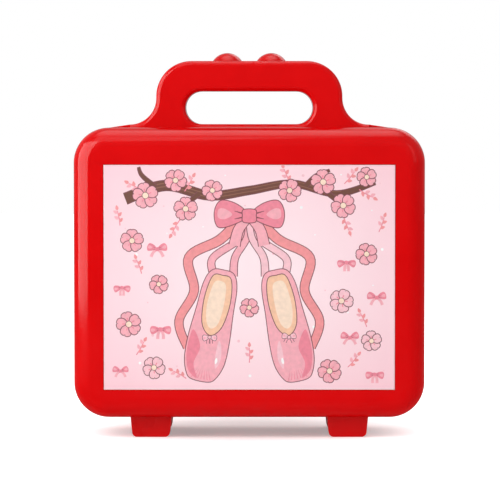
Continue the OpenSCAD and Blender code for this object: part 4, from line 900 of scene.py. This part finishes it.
def hairParts(work):
    tube(work, [(0, 2.2, 61.6, 2.4, 1.6), (0, 2.0, 63.4, 4.2, 3.6), (0, 1.4, 66.4, 5.1, 4.5),
                (0, 1.0, 69.4, 5.0, 4.8), (0, 0.8, 71.8, 4.0, 4.2), (0, 0.9, 73.4, 2.2, 2.4),
                (0, 1.0, 74, 0.8, 0.9)], 28)
    for k in range(hair["locks"]):
        tube(work, combedLock((k + 0.5) * 360 / hair["locks"]), 8, 3)
    coil = []
    for t in (j / hair["bunSteps"] for j in range(hair["bunSteps"] + 1)):
        a, r = t * hair["bunTurns"] * math.tau, hair["bunRadius"] * (1 - t) ** 0.8
        coil.append((r * math.cos(a), hair["bunMiddleY"] + r * math.sin(a) - 0.3 * t,
                     hair["bunFoot"] + hair["bunHeight"] * t, 1.0 - 0.25 * t, 1.0 - 0.25 * t))
    tube(work, coil, 10, 1)
    tube(work, [(0, 1.5, 73, 2.4, 2.4), (0, 1.5, 75.4, 2.2, 2.2), (0, 1.4, 77.2, 0.9, 0.9)], 16)


fused("dancer_hair", hairParts, paintedHair())


def bodiceParts(work):
    tube(work, [(0, 0.1, 38.4, 4.7, 3.75), (0, 0.2, 40.2, 5.1, 4.0), (0, 0.1, 43.6, 4.1, 3.3),
                (0, 0, 46.8, 3.3, 2.7), (0, -0.35, 50.3, 4.0, 3.1), (0, -0.5, 52.6, 4.5, 3.35),
                (0, -0.3, 54.2, 4.3, 2.75)], 32)
    for s in (-1, 1):
        tube(work, [(s * 3.1, -2.0, 53.6, 0.5, 0.5), (s * 3.5, -1.9, 55.4, 0.42, 0.42),
                    (s * 3.6, -0.4, 57.0, 0.4, 0.4), (s * 3.4, 1.3, 55.8, 0.42, 0.42),
                    (s * 3.0, 1.8, 53.6, 0.5, 0.5)], 10, about="Z")


def shoeParts(work):
    tube(work, [(0, -0.1, 1.2, 0.95, 0.85), (0, -0.1, 1.9, 1.35, 1.3), (0, 0, 4.0, 1.62, 1.7),
                (0, 0.35, 6.4, 1.5, 1.75), (0, 0.6, 7.6, 1.25, 1.2)], 20)
    tube(work, [(5.3, -2.75, 20.2, 1.2, 1.25), (4.5, -2.65, 19.2, 1.5, 1.55),
                (3.6, -2.6, 18.1, 1.35, 1.4), (2.5, -2.5, 16.9, 0.95, 0.95),
                (2.0, -2.5, 16.3, 0.6, 0.6)], 18, about="Z")


ribbons = {
    "turns": 1.6, "startTurn": 0.6, "steps": 24,    # the second is in radians
    "foot": 6.8, "rise": 5.4,           # mm up the standing leg
    "radius": 1.34, "widensFrom": 8.5, "widensBy": 0.10,
    "middleY": 0.25, "deeper": 1.06,    # the leg's middle, and its depth as a share of its width
    "tape": (0.2, 0.28), "raisedTape": (0.2, 0.25),     # half thickness and half width
    "raisedAnkle": (5.4, -2.7, 20.1), "raisedWay": (7, -0.4, 7.4),
    "raisedRings": ((1.1, 1.43), (2.0, 1.6)),       # mm up from that ankle, and the radius
}


def ankleRibbons(work):
    for way in (1, -1):
        path = []
        for t in (j / ribbons["steps"] for j in range(ribbons["steps"] + 1)):
            a = way * (t * ribbons["turns"] * math.tau + ribbons["startTurn"])
            z = ribbons["foot"] + ribbons["rise"] * t
            r = ribbons["radius"] + ribbons["widensBy"] * max(0, z - ribbons["widensFrom"])
            y = ribbons["middleY"] + r * ribbons["deeper"] * math.sin(a)
            path.append((r * math.cos(a), y, z, *ribbons["tape"]))
        tube(work, path, 6, 2, about="Z")
    ahead, across = Vector(ribbons["raisedWay"]).normalized(), Vector((0, 1, 0))
    other = ahead.cross(across).normalized()
    for up, r in ribbons["raisedRings"]:
        middle = Vector(ribbons["raisedAnkle"]) + ahead * up
        ring = [(*(middle + across * r * math.cos(a) + other * r * math.sin(a)),
                 *ribbons["raisedTape"]) for a in aroundTurn(16) + [math.tau]]
        tube(work, ring, 6, 1)


def hairBand(work):
    middleY, radius, wide = hair["crown"][1], hair["bandRadius"], hair["bandWidth"]
    ring = [(radius * math.cos(a), middleY + radius * math.sin(a), hair["bandHeight"], wide, wide)
            for a in aroundTurn(32) + [math.tau]]
    tube(work, ring, 10, 1)
    for s in (-1, 1):  # the bow behind: a loop and a tail on each side
        tube(work, [(0, 4.1, 74.2, 0.3, 0.3), (s * 1.3, 4.5, 75.2, 0.7, 0.35),
                    (s * 2.4, 4.6, 74.6, 0.5, 0.3), (s * 1.4, 4.6, 73.8, 0.55, 0.3),
                    (0, 4.2, 74.0, 0.3, 0.3)], 10, about="Z")
        tube(work, [(s * 0.2, 4.2, 74, 0.3, 0.25), (s * 0.9, 4.7, 71.8, 0.5, 0.15),
                    (s * 1.3, 4.9, 69.8, 0.6, 0.12)], 10)


def standDisc(work):
    tube(work, [(0, 0, 0.02, 4.7, 4.7), (0, 0, 0.3, 5.0, 5.0), (0, 0, 0.9, 5.0, 5.0),
                (0, 0, 1.2, 4.6, 4.6)], 48, 2)


fused("dancer_bodice", bodiceParts, roseSatin)
fused("dancer_shoes", shoeParts, pinkSatin)
onDancer(meshOf("dancer_ribbons", ankleRibbons, roseSatin))
onDancer(meshOf("dancer_hairband", hairBand, roseSatin))
onDancer(meshOf("dancer_stand", standDisc, whitePlastic))

pearls = {  # inputs of the tree that threads them, in metres
    "bun_pearls": {"Count": 16, "Half Width": 2.75 * mm, "Half Depth": 2.75 * mm,
                   "Middle": onStage(0, 1.5, 74.75), "Pearl Radius": 0.36 * mm},
    "waist_pearls": {"Count": 26, "Half Width": 5.2 * mm, "Half Depth": 4.15 * mm,
                     "Middle": onStage(0, 0.15, 42.0), "Pearl Radius": 0.34 * mm},
}


def pearlTree():  # an oval ring of pearls
    tree = bpy.data.node_groups.new("pearl ring", "GeometryNodeTree")
    for name, kind in (("Count", "Int"), ("Half Width", "Float"), ("Half Depth", "Float"),
                       ("Middle", "Vector"), ("Pearl Radius", "Float"), ("Material", "Material")):
        tree.interface.new_socket(name, in_out="INPUT", socket_type="NodeSocket" + kind)
    tree.interface.new_socket("Geometry", in_out="OUTPUT", socket_type="NodeSocketGeometry")
    given = addNode(tree, "NodeGroupInput").outputs
    loop = addNode(tree, "GeometryNodeMeshCircle", {"Vertices": given["Count"], "Radius": 1.0})
    oval = addNode(tree, "ShaderNodeCombineXYZ", {"X": given["Half Width"],
                                                  "Y": given["Half Depth"], "Z": 1.0})
    ring = addNode(tree, "GeometryNodeTransform", {
        "Geometry": loop.outputs["Mesh"], "Scale": oval.outputs[0],
        "Translation": given["Middle"]})
    ball = addNode(tree, "GeometryNodeMeshIcoSphere", {"Radius": given["Pearl Radius"],
                                                       "Subdivisions": 3})
    spread = addNode(tree, "GeometryNodeInstanceOnPoints", {
        "Points": ring.outputs[0], "Instance": ball.outputs["Mesh"]})
    real = addNode(tree, "GeometryNodeRealizeInstances", {"Geometry": spread.outputs[0]})
    lacquered = addNode(tree, "GeometryNodeSetMaterial", {"Geometry": real.outputs[0],
                                                          "Material": given["Material"]})
    addNode(tree, "NodeGroupOutput", {"Geometry": lacquered.outputs[0]})
    return tree


def pearlRing(name, tree, inputs):
    piece = inScene(name, bpy.data.meshes.new(name))
    maker = piece.modifiers.new("pearls", "NODES")
    maker.node_group = tree
    sockets = {item.name: item.identifier for item in tree.interface.items_tree
               if item.item_type == "SOCKET" and item.in_out == "INPUT"}
    for key, value in inputs.items():
        maker[sockets[key]] = value
    onDancer(baked(piece, name))


pearlMaker = pearlTree()
for name, inputs in pearls.items():
    pearlRing(name, pearlMaker, {**inputs, "Material": pearl})

tutu = {
    "layers": 8, "pleats": 56, "rings": 10, "stepsPerPleat": 8,
    "reach": 19.1, "shorter": 0.55,     # mm to the top layer's edge, and less for each below
    "waist": 4.6, "middleY": 0.15,
    "height": 41.4, "lower": 0.24,      # mm at the waist, and lower for each layer
    "droop": 0.2, "droopMore": 0.5,     # how far the edge hangs, and more for each layer
    "wave": 0.3, "scallop": 0.7,
    "hem": 1.5,                         # mm that the flat square is larger all round
}


def tutuLayer(level):
    # one flared, gathered ring of net, its pleats deepening towards a scalloped edge; the waves
    # start at another angle in each layer, so that no two lie alike
    count, rings, inner = tutu["pleats"], tutu["rings"], tutu["waist"]
    across = count * tutu["stepsPerPleat"]
    outer = tutu["reach"] - tutu["shorter"] * level
    droop = tutu["droop"] + tutu["droopMore"] * level
    height = tutu["height"] - tutu["lower"] * level
    verts, faces = [], []
    for t in (i / rings for i in range(rings + 1)):
        for a in (j / across * math.tau + 0.37 * level for j in range(across)):
            wave = math.sin(count * a + 1.3 * level)
            wave += 0.35 * math.sin((count // 2 + 3) * a + level)
            scallop = tutu["scallop"] * t ** 6 * abs(math.sin(count / 4 * a + level))
            r = inner + (outer - inner - scallop) * t
            z = height - droop * 1.6 * t ** 1.6 + tutu["wave"] * wave * t ** 1.2
            z += tutu["wave"] * math.sin(5 * a + 2 * level) * t ** 2
            verts.append(onStage(r * math.cos(a), tutu["middleY"] + r * math.sin(a), z))
    for i in range(rings):
        for j in range(across):
            a, b = i * across + j, i * across + (j + 1) % across
            faces.append((a, a + across, b + across, b))
    mesh = bpy.data.meshes.new(f"tutu_net_{level + 1}")
    mesh.from_pydata(verts, [], faces)
    mesh.materials.append(tulleNet)
    if mesh.polygons[0].normal.z < 0:
        mesh.flip_normals()
    piece = link(mesh, "dancer")
    return piece


tulleNet = tulle()
nets = [tutuLayer(level) for level in range(tutu["layers"])]
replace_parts(nets[0], "ballerina_tutu")
print("dancer made")


# the room

room = {
    "cameraDistance": 1.75,
    "cameraRise": 2.6,          # degrees above the level
    "viewWidth": 0.2974,        # metres across the picture at the case's front
    "sensor": 36,
    "aim": (0.0004, -0.05, 0.1128), "lampAim": (0, -0.02, 0.11),
    "floorSize": 8.0, "floorDrop": 0.0002,
    "whiteFrom": 0.04, "whiteTo": 0.16,     # metres over which the floor turns plain white
    "nearGlow": 0.3, "glossPaper": 0.3,
    "worldFill": 0.5, "levelGloss": 0.35, "skyGloss": 0.65, "skyFrom": 0.35,
    "overheadGloss": 4.6, "overheadSpan": (0.86, 0.98),     # heights on a ball of radius 1
}
lamps = {  # azimuth and rise in degrees, metres away, size, and brightness where white paper is 1
    "left softbox": (-58, 22, 1.2, (0.7, 1.2), 2.4),    # lights the case but isn't mirrored in it
    "left panel": (-62, 12, 1.2, (1.6, 1.5), 8.0),      # only mirrored
    "key softbox": (-26, 48, 1.4, (0.9, 0.7), 2.6),
    "right softbox": (55, 20, 1.5, (0.5, 0.9), 1.0),
    "back softbox": (150, 40, 1.5, (0.9, 0.7), 2.0),
}


def facing(piece, aim, away, azimuth, rise):  # puts a lamp or the camera there, turned to aim
    out = outwards(azimuth, rise)
    piece.location = Vector(aim) + out * away
    piece.rotation_euler = (-out).to_track_quat("-Z", "Y").to_euler()


def placeCamera():
    lens = bpy.data.cameras.new("viewing camera")
    lens.sensor_width = room["sensor"]
    lens.lens = room["sensor"] * room["cameraDistance"] / room["viewWidth"]
    lens.clip_start = 0.05
    camera = inScene("viewing camera", lens)
    facing(camera, room["aim"], room["cameraDistance"], 0, room["cameraRise"])
    bpy.context.scene.camera = camera


def softbox(name, azimuth, rise, away, size, glow):
    lamp = bpy.data.lights.new(name, "AREA")
    lamp.shape = "RECTANGLE"
    lamp.size, lamp.size_y = size
    lamp.energy = glow * math.pi * size[0] * size[1]
    piece = inScene(name, lamp)
    facing(piece, room["lampAim"], away, azimuth, rise)
    return piece


def whiteFloor():
    # white seamless paper: it takes the object's soft shadow, and shows plain white further off
    material = makeMaterial("white seamless paper", {
        "Roughness": 0.9, "Specular IOR Level": 0.0, "Emission Color": (1, 1, 1, 1)},
        tint=((200.0, 2.0), "#F2F2F2", "#F5F5F5"))
    tree = material.node_tree
    shader = tree.nodes["Principled BSDF"]
    place = addNode(tree, "ShaderNodeTexCoord").outputs["Object"]
    away = addNode(tree, "ShaderNodeVectorMath", {0: place}, operation="LENGTH").outputs["Value"]
    rise = addNode(tree, "ShaderNodeMapRange", {
        "Value": away, "From Min": room["whiteFrom"], "From Max": room["whiteTo"],
        "To Min": room["nearGlow"], "To Max": 1.0}, interpolation_type="SMOOTHSTEP").outputs[0]
    path = addNode(tree, "ShaderNodeLightPath").outputs
    glow = addNode(tree, "ShaderNodeMath", {0: path["Is Camera Ray"], 1: rise},
                   operation="MULTIPLY")
    tree.links.new(glow.outputs[0], shader.inputs["Emission Strength"])
    # gloss sees grey paper further off, so that upright faces keep their colour
    far = addNode(tree, "ShaderNodeMath", {0: path["Is Glossy Ray"], 1: rise},
                  operation="MULTIPLY")
    paper = shader.inputs["Base Color"].links[0].from_socket
    seen = addNode(tree, "ShaderNodeMix", {"Factor": far.outputs[0], 6: paper,
                                           7: [room["glossPaper"]] * 3 + [1]}, data_type="RGBA")
    tree.links.new(seen.outputs[2], shader.inputs["Base Color"])
    mesh = bpy.data.meshes.new("floor")
    half, low = room["floorSize"] / 2, -room["floorDrop"]
    mesh.from_pydata([(-half, -half, low), (half, -half, low), (half, half, low),
                      (-half, half, low)], [], [(0, 1, 2, 3)])
    mesh.materials.append(material)
    inScene("floor", mesh)


def paleWorld():  # white to the eye; gloss sees it dimmer at the level than overhead
    world = bpy.data.worlds.new("pale studio")
    bpy.context.scene.world = world
    world.use_nodes = True
    tree = world.node_tree
    tree.nodes.clear()
    path = addNode(tree, "ShaderNodeLightPath").outputs
    seen = addNode(tree, "ShaderNodeMath", {0: path["Is Camera Ray"],
                                            1: path["Is Transmission Ray"]}, operation="MAXIMUM")
    way = addNode(tree, "ShaderNodeTexCoord").outputs["Generated"]
    height = addNode(tree, "ShaderNodeSeparateXYZ", {"Vector": way}).outputs["Z"]
    sky = addNode(tree, "ShaderNodeMapRange", {
        "Value": height, "From Min": 0.0, "From Max": room["skyFrom"],
        "To Min": room["levelGloss"], "To Max": room["skyGloss"]}).outputs[0]
    overheadFrom, overheadTo = room["overheadSpan"]
    overhead = addNode(tree, "ShaderNodeMapRange", {
        "Value": height, "From Min": overheadFrom, "From Max": overheadTo, "To Min": 0.0,
        "To Max": room["overheadGloss"]}).outputs[0]
    dome = addNode(tree, "ShaderNodeMath", {0: sky, 1: overhead}, operation="ADD").outputs[0]
    fill, white, soft = (addNode(tree, "ShaderNodeBackground", {
        "Color": (1, 1, 1, 1), "Strength": strength}).outputs[0]
        for strength in (room["worldFill"], 1.0, dome))
    gloss = addNode(tree, "ShaderNodeMixShader", {0: path["Is Glossy Ray"], 1: fill, 2: soft})
    mix = addNode(tree, "ShaderNodeMixShader", {0: seen.outputs[0], 1: gloss.outputs[0], 2: white})
    addNode(tree, "ShaderNodeOutputWorld", {"Surface": mix.outputs[0]})


placeCamera()
whiteFloor()
paleWorld()
for name, settings in lamps.items():
    box = softbox(name, *settings)
    box.visible_glossy = name != "left softbox"
    box.visible_diffuse = name != "left panel"
bpy.context.scene.view_settings.view_transform = "Standard"
print("room set")
